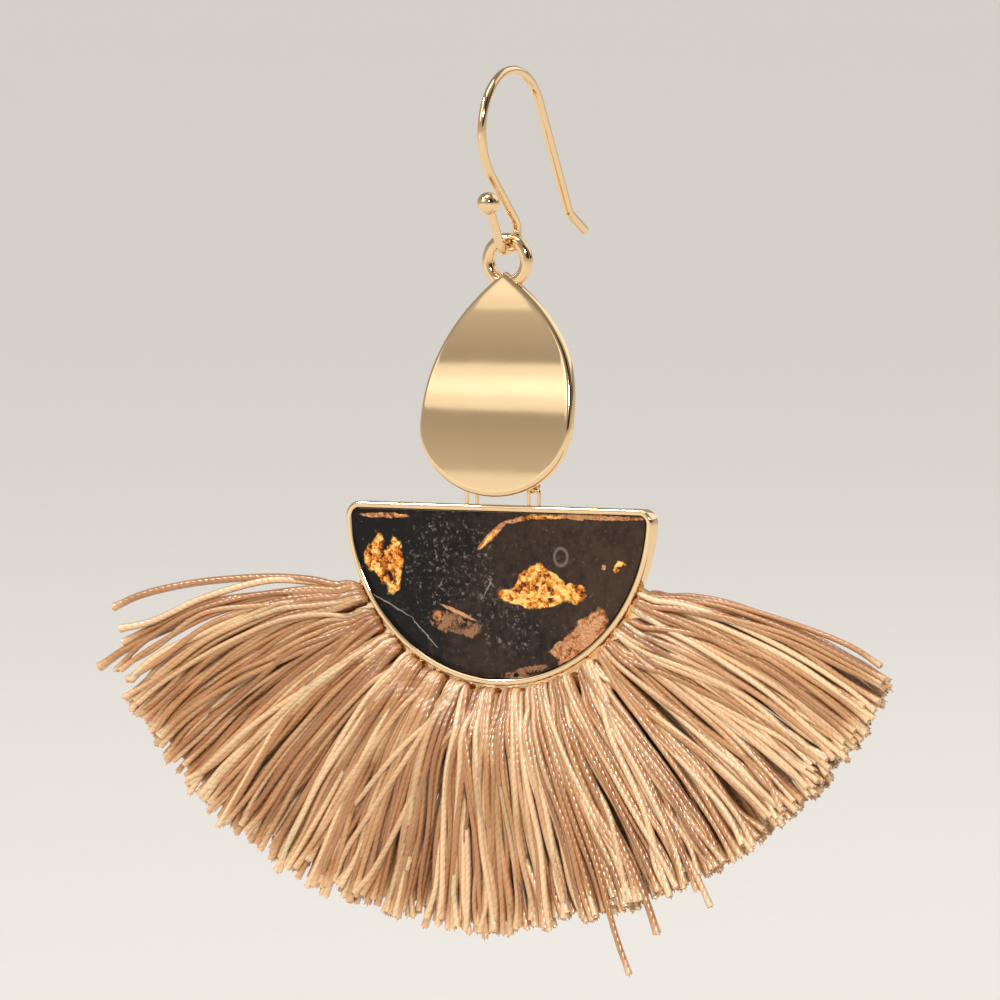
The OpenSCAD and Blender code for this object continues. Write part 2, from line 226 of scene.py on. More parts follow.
class ColourSettings(PropertyGroup):
    gold: colour("Gold", "Polished gold plating", "#f7d7aa")
    thread_deep: colour("Deep thread", "Deepest rayon thread", "#955a1a")
    thread_mid: colour("Thread", "Rayon thread", "#b47a3d")
    thread_pale: colour("Pale thread", "Palest rayon thread", "#e4bd8e")
    resin: colour("Resin", "Darkest ground of the resin", "#0d0a08")
    resin_brown: colour("Brown resin", "Brown clouds in the resin", "#3a291e")
    # The deepest and brightest foil colours are painted shade in the folds and painted glints on the facets.
    foil_painted_shade: colour("Deep gold foil", "Folds of the gold foil", "#8a3f0c")
    foil_amber: colour("Amber foil", "Slopes of the gold foil", "#e98a24")
    foil_painted_glint: colour("Gold foil", "Brightest gold foil", "#ffd27a")
    foil_copper: colour("Copper foil", "Copper foil", "#a8642f")
    foil_rose: colour("Rose foil", "Palest copper foil", "#cc9468")
    foil_bronze: colour("Bronze foil", "Dull brown foil deep in the resin", "#8a6044")
    foil_grey: colour("Grey foil", "Specks and scratches of dull foil", "#7a7269")
    floor: colour("Floor", "Pale matt floor", "#dfdbd5")
    sky_low: colour("Low sky", "Soft light from the horizon and below", "#cbc6bf")
    sky_middle: colour("Middle sky", "Soft light from above the horizon", "#a9a59f")
    sky_high: colour("High sky", "Soft light from overhead", "#8b8884")


# Places that come from the frame

LINKS = ("link_left", "link_right")
HANG, SWING = (Vector(joint["pos_m"]) for joint in frame["joints"])


def middle(node):
    """Middle of a CAD node's box."""
    low, high = BOXES[node]
    return (low + high) / 2


def moon_place():
    """Centre of the half-moon's round side, and the depths of the bezel's front and back."""
    moon = bpy.context.scene.half_moon
    low, high = BOXES["half_moon_bezel"]
    return Vector((0, 0, low.z + moon.radius + moon.flange_w)), low.y, high.y


# Curves

def polar(radius, angle):
    """Point in a plane at a radius and an angle."""
    return Vector((radius * math.cos(angle), radius * math.sin(angle)))


def arc(centre, radius, start, end, steps):
    """Points along an arc, from one angle to another."""
    return [centre + polar(radius, start + (end - start) * i / steps) for i in range(steps + 1)]


def circle(centre, radius, first, second, steps, span=math.tau):
    """Points of a circle, or part of one, in the plane of two directions."""
    angles = [span * i / steps for i in range(steps if span == math.tau else steps + 1)]
    return [centre + radius * (math.cos(a) * first + math.sin(a) * second) for a in angles]


def smooth_course(points, spacings):
    """Points of a Catmull-Rom curve through the given points, with a spacing for each stretch."""
    points = np.array(points)
    padded = np.vstack([2 * points[0] - points[1], points, 2 * points[-1] - points[-2]])
    course = []
    for i, spacing in enumerate(spacings):
        a, b, c, d = padded[i : i + 4]
        count = max(2, math.ceil(np.linalg.norm(c - b) / spacing))
        t = (np.arange(count) / count)[:, None]
        course.append(0.5 * (
            2 * b + (c - a) * t + (2 * a - 5 * b + 4 * c - d) * t**2 + (3 * b - a - 3 * c + d) * t**3
        ))
    return np.vstack(course + [points[-1:]])


# Meshes

def tube(course, radii, sides, closed=False):
    """Vertices and faces of a round tube along a course."""
    course = np.array([tuple(p) for p in course])
    count = len(course)
    if closed:
        ahead = np.roll(course, -1, axis=0) - np.roll(course, 1, axis=0)
    else:
        ahead = np.gradient(course, axis=0)
    ahead /= np.linalg.norm(ahead, axis=1)[:, None]
    # The first ring is turned to X, or to Y where the course sets off nearly along X.
    side = np.cross(ahead[0], (1.0, 0.0, 0.0) if abs(ahead[0][0]) < 0.9 else (0.0, 1.0, 0.0))
    sideways = np.empty_like(course)
    for i in range(count):
        side = side - ahead[i] * side.dot(ahead[i])
        side = side / np.linalg.norm(side)
        sideways[i] = side
    across = np.cross(ahead, sideways)
    angles = np.arange(sides) * math.tau / sides
    radii = np.broadcast_to(radii, count)[:, None, None]
    rings = course[:, None] + radii * (
        np.cos(angles)[None, :, None] * sideways[:, None] + np.sin(angles)[None, :, None] * across[:, None]
    )
    k = np.arange(count if closed else count - 1)[:, None]
    j = np.arange(sides)[None]
    after, n = (k + 1) % count, (j + 1) % sides
    faces = np.stack([k * sides + j, k * sides + n, after * sides + n, after * sides + j], axis=-1)
    return rings.reshape(-1, 3), faces.reshape(-1, 4)


class Shape:
    """Gathers the vertices and faces of one piece."""

    def __init__(self):
        self.vertices = []
        self.faces = []

    def add(self, vertices, faces):
        """Takes in vertices and the faces between them."""
        start = len(self.vertices)
        self.vertices += [tuple(v) for v in vertices]
        self.faces += [tuple(int(i) + start for i in face) for face in faces]

    def add_loft(self, rings):
        """A skin over rings of points, closed at both ends."""
        count = len(rings[0])
        last = (len(rings) - 1) * count
        faces = []
        for low in range(0, last, count):
            high = low + count
            for j in range(count):
                n = (j + 1) % count
                faces.append((low + j, low + n, high + n, high + j))
        faces += [tuple(range(count))[::-1], tuple(range(last, last + count))]
        self.add([p for ring in rings for p in ring], faces)

    def add_wire(self, course, radius, sides, rounded=0):
        """Round wire along a course. A rounded end narrows over that many steps to a dome."""
        course = [Vector(p) for p in course]
        radii = [radius] * len(course)
        ahead = (course[-1] - course[-2]).normalized()
        tip = course[-1]
        for step in range(1, rounded + 1):
            angle = math.pi / 2 * step / (rounded + 0.2)  # stops just short of the dome's top
            course.append(tip + ahead * radius * math.sin(angle))
            radii.append(radius * math.cos(angle))
        vertices, faces = tube(course, np.array(radii), sides)
        last = (len(course) - 1) * sides
        ends = [tuple(range(sides))[::-1], tuple(range(last, last + sides))]
        self.add(vertices, [tuple(f) for f in faces] + ends)

    def add_ring(self, centre, radius, wire, first, second, steps, sides):
        """A closed ring of round wire in the plane of two directions."""
        vertices, faces = tube(circle(centre, radius, first, second, steps), wire / 2, sides, closed=True)
        self.add(vertices, faces)

    def add_mesh(self, mesh):
        """Takes in a whole mesh."""
        self.add([v.co[:] for v in mesh.vertices], [p.vertices[:] for p in mesh.polygons])

    def make_mesh(self, name, crease=40):
        """The mesh, shaded smooth up to an angle in degrees, with its faces turned outward."""
        mesh = bpy.data.meshes.new(name)
        mesh.from_pydata(self.vertices, [], self.faces)
        build = bmesh.new()
        build.from_mesh(mesh)
        bmesh.ops.recalc_face_normals(build, faces=build.faces)
        build.to_mesh(mesh)
        build.free()
        mesh.polygons.foreach_set("use_smooth", [True] * len(mesh.polygons))
        mesh.set_sharp_from_angle(angle=math.radians(crease))
        return mesh


def add_object(name, data):
    """Puts a new object into the scene."""
    obj = bpy.data.objects.new(name, data)
    bpy.context.scene.collection.objects.link(obj)
    return obj


def add_piece(name, mesh, material, body, node):
    """A finished piece that rides on a body and stands for a CAD node."""
    obj = add_object(name, mesh)
    mesh.materials.append(material)
    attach(obj, body)
    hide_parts(node)
    return obj


X = Vector((1, 0, 0))
Y = Vector((0, 1, 0))
Z = Vector((0, 0, 1))


# Ear wire

def wire_route(wire):
    """The wire's middle line as depth and height: ball, short leg, loop, arch, tail and bent tip."""
    arch_c = Vector((0, wire.wire_d / 2 - wire.arch_r))
    loop_c = Vector((HANG.y, HANG.z + wire.loop_r))
    to_arch = arch_c - loop_c
    cross = math.atan2(to_arch.y, to_arch.x) - math.acos((wire.arch_r + wire.loop_r) / to_arch.length)
    leg = math.pi + wire.leg_lean
    quarter, half = math.pi / 2, math.pi
    leg_top = loop_c + polar(wire.loop_r, leg)
    ball = leg_top + polar(wire.leg_len, leg - quarter)
    tail_end = arch_c + polar(wire.arch_r, wire.tail_lean) + polar(wire.tail_len, wire.tail_lean - quarter)
    bend_c = tail_end + polar(wire.tip_bend_r, wire.tail_lean)
    tip = wire.tail_lean + wire.tip_bend
    bend_end = bend_c + polar(wire.tip_bend_r, half + tip)
    route = [ball, (ball + leg_top) / 2]
    route += arc(loop_c, wire.loop_r, leg, math.tau + cross, steps=56)
    route += arc(arch_c, wire.arch_r, half + cross, wire.tail_lean, steps=72)
    route += [tail_end + polar(wire.tail_len, wire.tail_lean + quarter) / 2]
    route += arc(bend_c, wire.tip_bend_r, half + wire.tail_lean, half + tip, steps=10)
    route += [bend_end + polar(wire.tip_len, tip - quarter) * s for s in (0.5, 1)]
    return [Vector((0, p.x, p.y)) for p in route]


class EARRING_OT_ear_wire(Operator):
    """Bends the ear wire and solders its ball"""

    bl_idname = "earring.ear_wire"
    bl_label = "Ear wire"

    def execute(self, context):
        wire = context.scene.ear_wire
        route = wire_route(wire)
        shape = Shape()
        shape.add_wire(route, wire.wire_d / 2, sides=28, rounded=4)
        ball, bands = wire.ball_d / 2, 24
        latitudes = [math.pi * (i + 0.5) / bands for i in range(bands)]
        shape.add_loft([
            circle(route[0] + Z * ball * math.cos(a), ball * math.sin(a), X, Y, steps=36) for a in latitudes
        ])
        mesh = shape.make_mesh("bent_ear_wire")
        add_piece("bent_ear_wire", mesh, polished_gold("wire"), "wire", "ear_wire")
        return {"FINISHED"}


# Teardrop plate

def plate_half(drop, s):
    """Half of the plate's width at a share of its height from the tip."""
    if s < drop.widest:
        return drop.width / 2 * (1 - (1 - s / drop.widest) ** drop.blunt)
    return drop.width / 2 * math.sqrt(max(0, 1 - ((s - drop.widest) / (1 - drop.widest)) ** 2))


def plate_middle(drop, s):
    """Depth of the middle of the plate's thickness at a share of its height from the tip."""
    lean = drop.tip_forward + (drop.foot_forward - drop.tip_forward) * s
    return HANG.y - lean + drop.bow * s * (1 - s) + drop.wave * math.sin(math.tau * s)


def plate_rings(drop):
    """Rings of points from the middle of the plate's front, round its edge, to the middle of its back."""
    steps, flat_rings, edge_rings = 48, 36, 8
    foot = BOXES["teardrop_plate"][0].z
    upper = [drop.widest * (1 - math.cos(math.pi / 2 * i / steps)) for i in range(steps)]
    lower = [drop.widest + (1 - drop.widest) * math.sin(math.pi / 2 * i / steps) for i in range(steps + 1)]
    shares = upper + lower
    right = [Vector((plate_half(drop, s), foot + (1 - s) * drop.height)) for s in shares]
    outline = right + [Vector((-p.x, p.y)) for p in right[-2:0:-1]]
    centre = Vector((0, foot + (1 - drop.widest) * drop.height))
    count = len(outline)
    reach = []
    for i, point in enumerate(outline):
        ahead = outline[(i + 1) % count] - outline[i - 1]
        outward = Vector((-ahead.y, ahead.x)).normalized()
        reach.append(abs((point - centre).dot(outward)))

    def ring(inset, scale, depth):
        """The outline drawn in by an inset and then a scale, at a depth from the plate's middle."""
        points = []
        for point, far in zip(outline, reach):
            flat = centre + (point - centre) * (1 - inset / far) * scale
            s = 1 - (flat.y - foot) / drop.height
            points.append(Vector((flat.x, plate_middle(drop, s) + depth, flat.y)))
        return points

    half = drop.thick / 2
    # The first ring is tiny and closes the middle.
    scales = [i / flat_rings for i in (0.2, *range(1, flat_rings))]
    turns = [math.pi / 2 * (1 - i / edge_rings) for i in range(edge_rings + 1)]
    rings = []
    for side, rounding in ((-1, drop.front_round), (1, drop.back_round)):
        face = [ring(rounding, scale, side * half) for scale in scales]
        face += [
            ring(rounding * (1 - math.cos(a)), 1, side * (half - rounding + rounding * math.sin(a)))
            for a in turns
        ]
        rings += face if side < 0 else face[::-1]
    return rings


def add_eye(shape, rings, foot, along, height):
    """A soldered eye: a half ring of wire on two legs that rise from a foot along a direction."""
    crown = foot + along * (height - rings.eye_r)
    aside = X * rings.eye_r
    course = [foot + aside, *circle(crown, rings.eye_r, X, along, steps=20, span=math.pi), foot - aside]
    shape.add_wire(course, rings.eye_wire / 2, sides=14)


class EARRING_OT_teardrop(Operator):
    """Casts the waved teardrop plate with its ring and eyes"""

    bl_idname = "earring.teardrop"
    bl_label = "Teardrop plate"

    def execute(self, context):
        drop, rings = context.scene.teardrop, context.scene.jump_rings
        foot, top = (corner.z for corner in BOXES["teardrop_plate"])
        shape = Shape()
        shape.add_loft(plate_rings(drop))
        ring_c = Vector((0, HANG.y, top - drop.ring_tube / 2 - drop.ring_r))
        shape.add_ring(ring_c, drop.ring_r, drop.ring_tube, X, Z, steps=72, sides=28)
        back = plate_middle(drop, 1 - (SWING.z - foot) / drop.height)
        for node in LINKS:
            place = Vector((middle(node).x, back, SWING.z))
            add_eye(shape, rings, place, Y, SWING.y - back)
        mesh = shape.make_mesh("waved_teardrop")
        add_piece("waved_teardrop", mesh, polished_gold("plate"), "drop", "teardrop_plate")
        return {"FINISHED"}


# Jump rings

class EARRING_OT_jump_rings(Operator):
    """Closes the two jump rings"""

    bl_idname = "earring.jump_rings"
    bl_label = "Jump rings"

    def execute(self, context):
        rings = context.scene.jump_rings
        for node in LINKS:
            low, high = BOXES[node]
            radius = (high.z - low.z - rings.wire) / 2
            span = math.tau - rings.split / radius
            course = circle((low + high) / 2, radius, Y, Z, steps=56, span=span)
            shape = Shape()
            shape.add_wire(course, rings.wire / 2, sides=18)
            name = node.replace("link", "jump_ring")
            add_piece(name, shape.make_mesh(name), polished_gold("wire"), "fan", node)
        return {"FINISHED"}


# Half-moon bezel

WAIST = 0.42  # how far the half-moon's middle lies below the centre of its round side, in radii


def fan_step(moon):
    """Angle from one bundle to the next."""
    return (math.pi - 2 * moon.fan_from) / (moon.bundles - 1)


def moon_outline(moon, inset, arc_steps=96, corner_steps=10):
    """Outline of the half-moon, drawn in by an amount, from the right corner clockwise round the arc."""
    radius = moon.radius - inset
    top = moon.chord_rise - inset
    corner = max(moon.corner_r - inset, moon.inner_corner)
    corner_z = top - corner
    corner_x = math.sqrt((radius - corner) ** 2 - corner_z**2)
    meet = math.atan2(corner_z, corner_x)
    points = arc(Vector((corner_x, corner_z)), corner, math.pi / 2, meet, corner_steps)
    points += arc(Vector((0, 0)), radius, meet, -math.pi - meet, arc_steps)[1:-1]
    points += arc(Vector((-corner_x, corner_z)), corner, math.pi - meet, math.pi / 2, corner_steps)
    return points


def moon_ring(moon, inset, depth, scale=1.0):
    """The half-moon's outline as a ring of points at a depth, drawn together to its waist by a scale."""
    centre = moon_place()[0]
    waist = Vector((0, -moon.radius * WAIST))
    flat = [waist + (p - waist) * scale for p in moon_outline(moon, inset)]
    return [centre + Vector((p.x, depth, p.y)) for p in flat]


def tray_rings(moon):
    """Rings from the tray's floor, up and over its rounded wall, to its back."""
    _, front, back = moon_place()
    steps = 6
    turns = [math.pi / 2 * i / steps for i in range(steps + 1)]
    r = moon.rim_round
    rings = [(moon.wall, back - moon.back), (moon.wall, front + r)]
    rings += [(moon.wall - r + r * math.cos(a), front + r - r * math.sin(a)) for a in turns[1:]]
    rings += [(r - r * math.sin(a), front + r - r * math.cos(a)) for a in turns]
    low = r / 2
    rings += [(low - low * math.cos(a), back - low + low * math.sin(a)) for a in turns]
    return [moon_ring(moon, inset, depth) for inset, depth in rings]


def flange_mesh(moon):
    """The pierced flange, cut from a band round the arc, with its edges rounded."""
    centre, _, back = moon_place()
    step = fan_step(moon)
    first = moon.fan_from - step * moon.flange_past
    inner, outer = moon.radius - moon.wall / 2, moon.radius + moon.flange_w
    corners = ((inner, back - moon.flange_t), (outer, back - moon.flange_t), (outer, back), (inner, back))
    sections = 120
    band = Shape()
    rings = []
    for i in range(sections + 1):
        out = polar(1, -(first + (math.pi - 2 * first) * i / sections))
        rings.append([centre + Vector((out.x * r, depth, out.y * r)) for r, depth in corners])
    band.add_loft(rings)
    drill = Shape()
    for i in range(moon.bundles):
        out = polar(moon.radius + moon.hole_out, -(moon.fan_from + i * step))
        hole = centre + Vector((out.x, back - moon.flange_t / 2, out.y))
        ends = [hole + Y * moon.flange_t * side for side in (-1, 1)]
        drill.add_loft([circle(end, moon.hole_d / 2, X, Z, steps=32) for end in ends])
    plate = add_object("flange_band", band.make_mesh("flange_band"))
    cutter = add_object("flange_drill", drill.make_mesh("flange_drill"))
    holes = plate.modifiers.new("Holes", "BOOLEAN")
    holes.object = cutter
    holes.solver = "EXACT"
    edges = plate.modifiers.new("Edges", "BEVEL")
    edges.width = moon.flange_edge
    edges.segments = 3
    edges.angle_limit = math.radians(50)
    bpy.context.view_layer.update()
    cut = bpy.data.meshes.new_from_object(plate.evaluated_get(bpy.context.evaluated_depsgraph_get()))
    for helper in (plate, cutter):
        bpy.data.objects.remove(helper)
    return cut


class EARRING_OT_bezel(Operator):
    """Casts the half-moon bezel with its pierced flange and eyes"""

    bl_idname = "earring.bezel"
    bl_label = "Half-moon bezel"

    def execute(self, context):
        moon, rings = context.scene.half_moon, context.scene.jump_rings
        centre = moon_place()[0]
        shape = Shape()
        shape.add_loft(tray_rings(moon))
        shape.add_mesh(flange_mesh(moon))
        edge = centre.z + moon.chord_rise
        for node in LINKS:
            link = middle(node)
            foot = Vector((link.x, link.y, edge - rings.eye_wire))
            add_eye(shape, rings, foot, Z, rings.eye_rise + rings.eye_wire)
        mesh = shape.make_mesh("pierced_bezel", crease=35)
        add_piece("pierced_bezel", mesh, polished_gold("plate"), "fan", "half_moon_bezel")
        return {"FINISHED"}


# Resin inlay

class EARRING_OT_resin(Operator):
    """Pours the dark resin over the foil"""

    bl_idname = "earring.resin"
    bl_label = "Resin inlay"

    def execute(self, context):
        moon, resin = context.scene.half_moon, context.scene.resin
        _, front, back = moon_place()
        edge = moon.wall + resin.gap
        level = front + resin.recess
        creep_rings, face_rings = 8, 20
        rings = [moon_ring(moon, edge, back - moon.back - resin.gap)]
        for i in range(creep_rings + 1):
            s = i / creep_rings
            rings.append(moon_ring(moon, edge + resin.creep_w * s, level - resin.creep * (1 - s) ** 2))
        inner = edge + resin.creep_w
        rings += [moon_ring(moon, inner, level, 1 - i / face_rings) for i in range(1, face_rings)]
        shape = Shape()
        shape.add_loft(rings)
        mesh = shape.make_mesh("foil_resin", crease=60)
        add_piece("foil_resin", mesh, foil_resin(), "fan", "resin_inlay")
        return {"FINISHED"}


# Fringe

# Threads that hang loose from the fan. Each row gives where a thread starts, counted in bundles from the
# right, how far its end lies across and down, as shares of the fan's side reach, its arch, as a share of
# the fan's, and its thickness, as a share of a thread's.
LOOSE = (
    {"from": 13.48, "across": -0.920, "down": 0.222, "arch": 0.7, "thick": 1.3},
    {"from": 13.40, "across": -0.895, "down": 0.276, "arch": 1.1, "thick": 1.2},
    {"from": 13.30, "across": -0.898, "down": 0.296, "arch": 0.7, "thick": 1.3},
    {"from": 13.22, "across": -0.960, "down": 0.352, "arch": 1.1, "thick": 1.35},
    {"from": 13.10, "across": -0.874, "down": 0.370, "arch": 1.2, "thick": 1.25},
    {"from": 4.64, "across": 0.313, "down": 0.935, "arch": 0.3, "thick": 1.1},
    {"from": 4.09, "across": 0.378, "down": 0.849, "arch": 0.3, "thick": 1.1},
    {"from": 3.25, "across": 0.499, "down": 0.790, "arch": 0.3, "thick": 1.1},
)
SEED = 7  # start of the fringe's random numbers, which are the same each run
LOCKS = 4  # locks in each bundle, in front and again behind
STRIDE = 11  # order in which a bundle's places are filled, with no factor in common with their number
THREAD_SIDES = 6
RING_SPACING, HEAD_SPACING = 0.5 * MM, 0.16 * MM  # between a thread's rings, along it and in its head
HEAD_POINTS = 3  # points on each side of a thread's middle that lie in its head
THICKNESSES = (0.88, 1.12)  # thinnest and thickest thread, as shares of the usual one
SQUEEZED, SQUEEZE_SPAN = 0.55, 2.5 * MM  # how thin a thread is in its hole, and how far it is squeezed
SWELL, SWELL_SPAN = 0.18, 1.2 * MM  # how much a cut end swells, and over what length
# Crossing threads are made paler by painted light, for the light they catch.
LEAN_PAINTED_LIGHT = 0.2  # how much paler a thread is that lies across the others
# Cut ends are paler partly as loose fibres and partly as painted light that lifts them out of shade.
TIP_FRAY_AND_PAINTED_LIGHT = 0.7  # how far a cut end goes from its thread's tone to the palest one

# From its hole a thread folds over a shoulder and a crown, and leaves the flange by a neck to its root, from
# where it is free to spread. The crown is out from the shoulder, and neck and root are out from the flange.
SHOULDER_IN = 0.75 * MM  # how far inward the shoulders of the outermost threads are
CROWN_OUT, NECK_OUT, ROOT_OUT = 0.6 * MM, 0.3 * MM, 0.5 * MM
CROWN_WIDER, ROOT_SPREAD = 0.1, 0.97  # the crown's extra width, and the share of its room filled at the root
CROWN_TURN, NECK_TURN, ROOT_TURN = 0.6, 1.3, 1.5  # millimetres moved by then in the way the thread goes on
NECK_BULGE = 0.3  # share of the bulge at the neck

# The bundle at the right end stays closed, with less leaning, wandering and gathering of its own. Threads
# behind gather, lean and puff out less than those in front.
CLOSED = 0.4
BACK_GATHER, BACK_LEAN, BACK_BULGE = 0.2, 0.4, 0.35
GATHER_VARIES = 0.6  # how much the gathering differs from lock to lock
END_PULL = 0.4  # how much of the gathering turns the cut ends too
END_SPLAY = 0.07  # random spread of the cut ends, in bundles
ARCH_FADE = 1.5  # how fast the arch fades from the sides to the middle
LEAST_LIFT = 0.35  # least share of the left end's lift that a thread gets
BULGES = (0.75, 1.1)  # least and greatest share of the bulge that a thread gets
PACKED_DEPTHS, LEANING_DEPTHS = (0.05, 0.95), (0.9, 1.15)  # where cut ends lie, as shares of the half depth
DEPTH_SWAY = 0.1 * MM  # random sway of a thread to the front or back

# How much of its sway, of its lock's pull and of the bulge a thread has at each share of the way from its
# root to its cut end.
WAY = (
    {"at": 0.1, "sway": 0.1, "pull": 0.2, "bulge": 0.85},
    {"at": 0.3, "sway": 0.5, "pull": 0.8, "bulge": 1},
    {"at": 0.6, "sway": 0.9, "pull": 1, "bulge": 0.5},
    {"at": 0.85, "sway": 1, "pull": 0.8, "bulge": 0.12},
    {"at": 1, "sway": 0.7, "pull": 0.4, "bulge": 0},
)

FIBRES = 4  # fibres that fray out of each cut end
FIBRE_ROOT, FIBRE_ASIDE = 0.15 * MM, 0.18  # where fibres start: inside the end, and aside in thread widths
FIBRE_LENGTHS = (0.35, 1)  # shortest and longest fibre, as shares of the greatest length
FIBRE_SPLAYS = (0.08, 0.22)  # how far each half of a fibre turns aside
FIBRE_TAPER = (1, 0.9, 0.5)


def vary(number):
    """A repeatable variation between -1 and 1."""
    return math.sin(math.radians(number * 137.5))


def fan_reach(fringe, angle):
    """Reach of the fan's outline at an angle below the straight edge, from the right."""
    uneven = fringe.uneven * max(0, math.sin(2 * angle))
    return fringe.drop + fringe.extra * math.cos(angle) ** 2 - uneven


def droop(start, end, arch, t):
    """A point on the curve of a thread, which leaves the flange, arches and droops."""
    control = (start + end) / 2 + Vector((0, arch))
    return (1 - t) ** 2 * start + 2 * t * (1 - t) * control + t * t * end


def head_route(moon, fringe, bundle, place, layer):
    """A thread's hole, shoulder, crown, neck and root, across and up from the half-moon's centre."""
    step = fan_step(moon)
    out = polar(1, -(moon.fan_from + bundle * step))
    tangent = Vector((out.y, -out.x))
    spread = (moon.hole_d - fringe.thread_d) / 2
    hole_r = moon.radius + moon.hole_out
    hole = out * (hole_r + spread * (1 - 2 * layer)) + tangent * spread * 2 * place
    shoulder = out * (hole_r - SHOULDER_IN * layer) + tangent * fringe.head_w * place
    crown = shoulder + out * CROWN_OUT + tangent * fringe.head_w * CROWN_WIDER * place
    flange_r = moon.radius + moon.flange_w
    neck = polar(flange_r + NECK_OUT, -(moon.fan_from + (bundle + place * fringe.neck) * step))
    root = polar(flange_r + ROOT_OUT, -(moon.fan_from + (bundle + place * ROOT_SPREAD) * step))
    return hole, shoulder, crown, neck, root


def lock_of(bundle, place, behind):
    """The lock that a thread lies in, and how far it would gather to the lock's middle, in bundles."""
    # The locks behind stand half a lock beside those in front, so they fill the gaps.
    in_locks = (place + 0.5) * LOCKS + (0.5 if behind else 0)
    lock = math.floor(in_locks)
    gather = (1 + GATHER_VARIES * vary(bundle * LOCKS + 3 * lock)) * (BACK_GATHER if behind else 1)
    return lock, (lock + 0.5 - in_locks) / LOCKS * gather


def half_course(context, bundle, place, side, lean, rng, loose):
    """Control points of half a thread, from its hole's middle to its cut end, in front or behind."""
    moon, fringe = context.scene.half_moon, context.scene.fringe
    centre, _, back = moon_place()
    behind = side > 0
    step = fan_step(moon)
    own_way = 1 if bundle else CLOSED
    layer = rng.random()
    hole, shoulder, crown, neck, root = head_route(moon, fringe, bundle, place, layer)
    lock, gathered = lock_of(bundle, place, behind)
    pull = gathered * step * own_way * fringe.gather

    # The cut end, the arch on the way to it and the depths
    at = bundle + place
    open_a = math.pi / 2 + (moon.fan_from + at * step - math.pi / 2) * fringe.opening
    reach = fan_reach(fringe, open_a) + fringe.ragged * vary(bundle * LOCKS + lock)
    reach -= fringe.back_short if behind else 0
    aside = lean * own_way * (BACK_LEAN if behind else 1) + rng.gauss(0, END_SPLAY)
    end_a = open_a + aside * step + pull * END_PULL
    end = polar(reach - abs(rng.gauss(0, 1)) * fringe.uncut, -end_a)
    lift = fringe.lift * max(0, 1 - (moon.bundles - 0.5 - at) / fringe.lift_span)
    arch = fringe.arch * abs(math.cos(open_a)) ** ARCH_FADE + lift * rng.uniform(LEAST_LIFT, 1)
    bulge = fringe.bulge * math.sin(open_a) ** 2 * (BACK_BULGE if behind else 1)
    proud = side * bulge * rng.uniform(*BULGES)
    plate_y = back - moon.flange_t / 2
    face_y = plate_y + side * moon.flange_t / 2
    head_y = face_y + side * (fringe.thread_d / 2 + fringe.head_t * layer)
    tip_y = plate_y + side * rng.uniform(*(LEANING_DEPTHS if lean else PACKED_DEPTHS)) * fringe.half_depth
    if loose:
        end = Vector((loose["across"], -loose["down"])) * (fringe.drop + fringe.extra)
        arch = fringe.arch * loose["arch"]
        pull = 0

    # The thread sets off from its hole in the direction in which it goes on.
    out = polar(1, -(moon.fan_from + bundle * step))
    heading = ((root + end) / 2 + Vector((0, arch)) - root).normalized()
    turned = (heading - out * heading.dot(out)) * MM
    root = root + turned * ROOT_TURN
    flat = [
        (hole, plate_y),
        (shoulder, (face_y + head_y) / 2),
        (crown + turned * CROWN_TURN, head_y),
        (neck + turned * NECK_TURN, head_y + NECK_BULGE * proud),
    ]
    ahead = (end - root).normalized()
    sideways = Vector((-ahead.y, ahead.x))
    for part in WAY:
        p = droop(root, end, arch, part["at"])
        sway = rng.gauss(0, 1) * fringe.wander * own_way * part["sway"]
        p = p + sideways * (sway - pull * p.length * part["pull"])
        depth = head_y + (tip_y - head_y) * part["at"] + proud * part["bulge"] + rng.gauss(0, DEPTH_SWAY)
        flat.append((p, depth))
    return [centre + Vector((p.x, depth, p.y)) for p, depth in flat]


def running_length(course):
    """Distance along a course of each of its points."""
    return np.concatenate([[0], np.cumsum(np.linalg.norm(np.diff(course, axis=0), axis=1))])


def near_end(along, span):
    """1 at either end of a thread, falling to 0 at a span from it."""
    return np.clip(1 - np.minimum(along, along[-1] - along) / span, 0, 1)


def thread_radii(fringe, along, squeeze_at):
    """Radius along a thread, thin where it is squeezed through its hole and swollen at its cut ends."""
    far = np.clip(np.abs(along - squeeze_at) / SQUEEZE_SPAN, 0, 1)
    squeeze = SQUEEZED + (1 - SQUEEZED) * far * far * (3 - 2 * far)
    return fringe.thread_d / 2 * squeeze * (1 + SWELL * near_end(along, SWELL_SPAN))


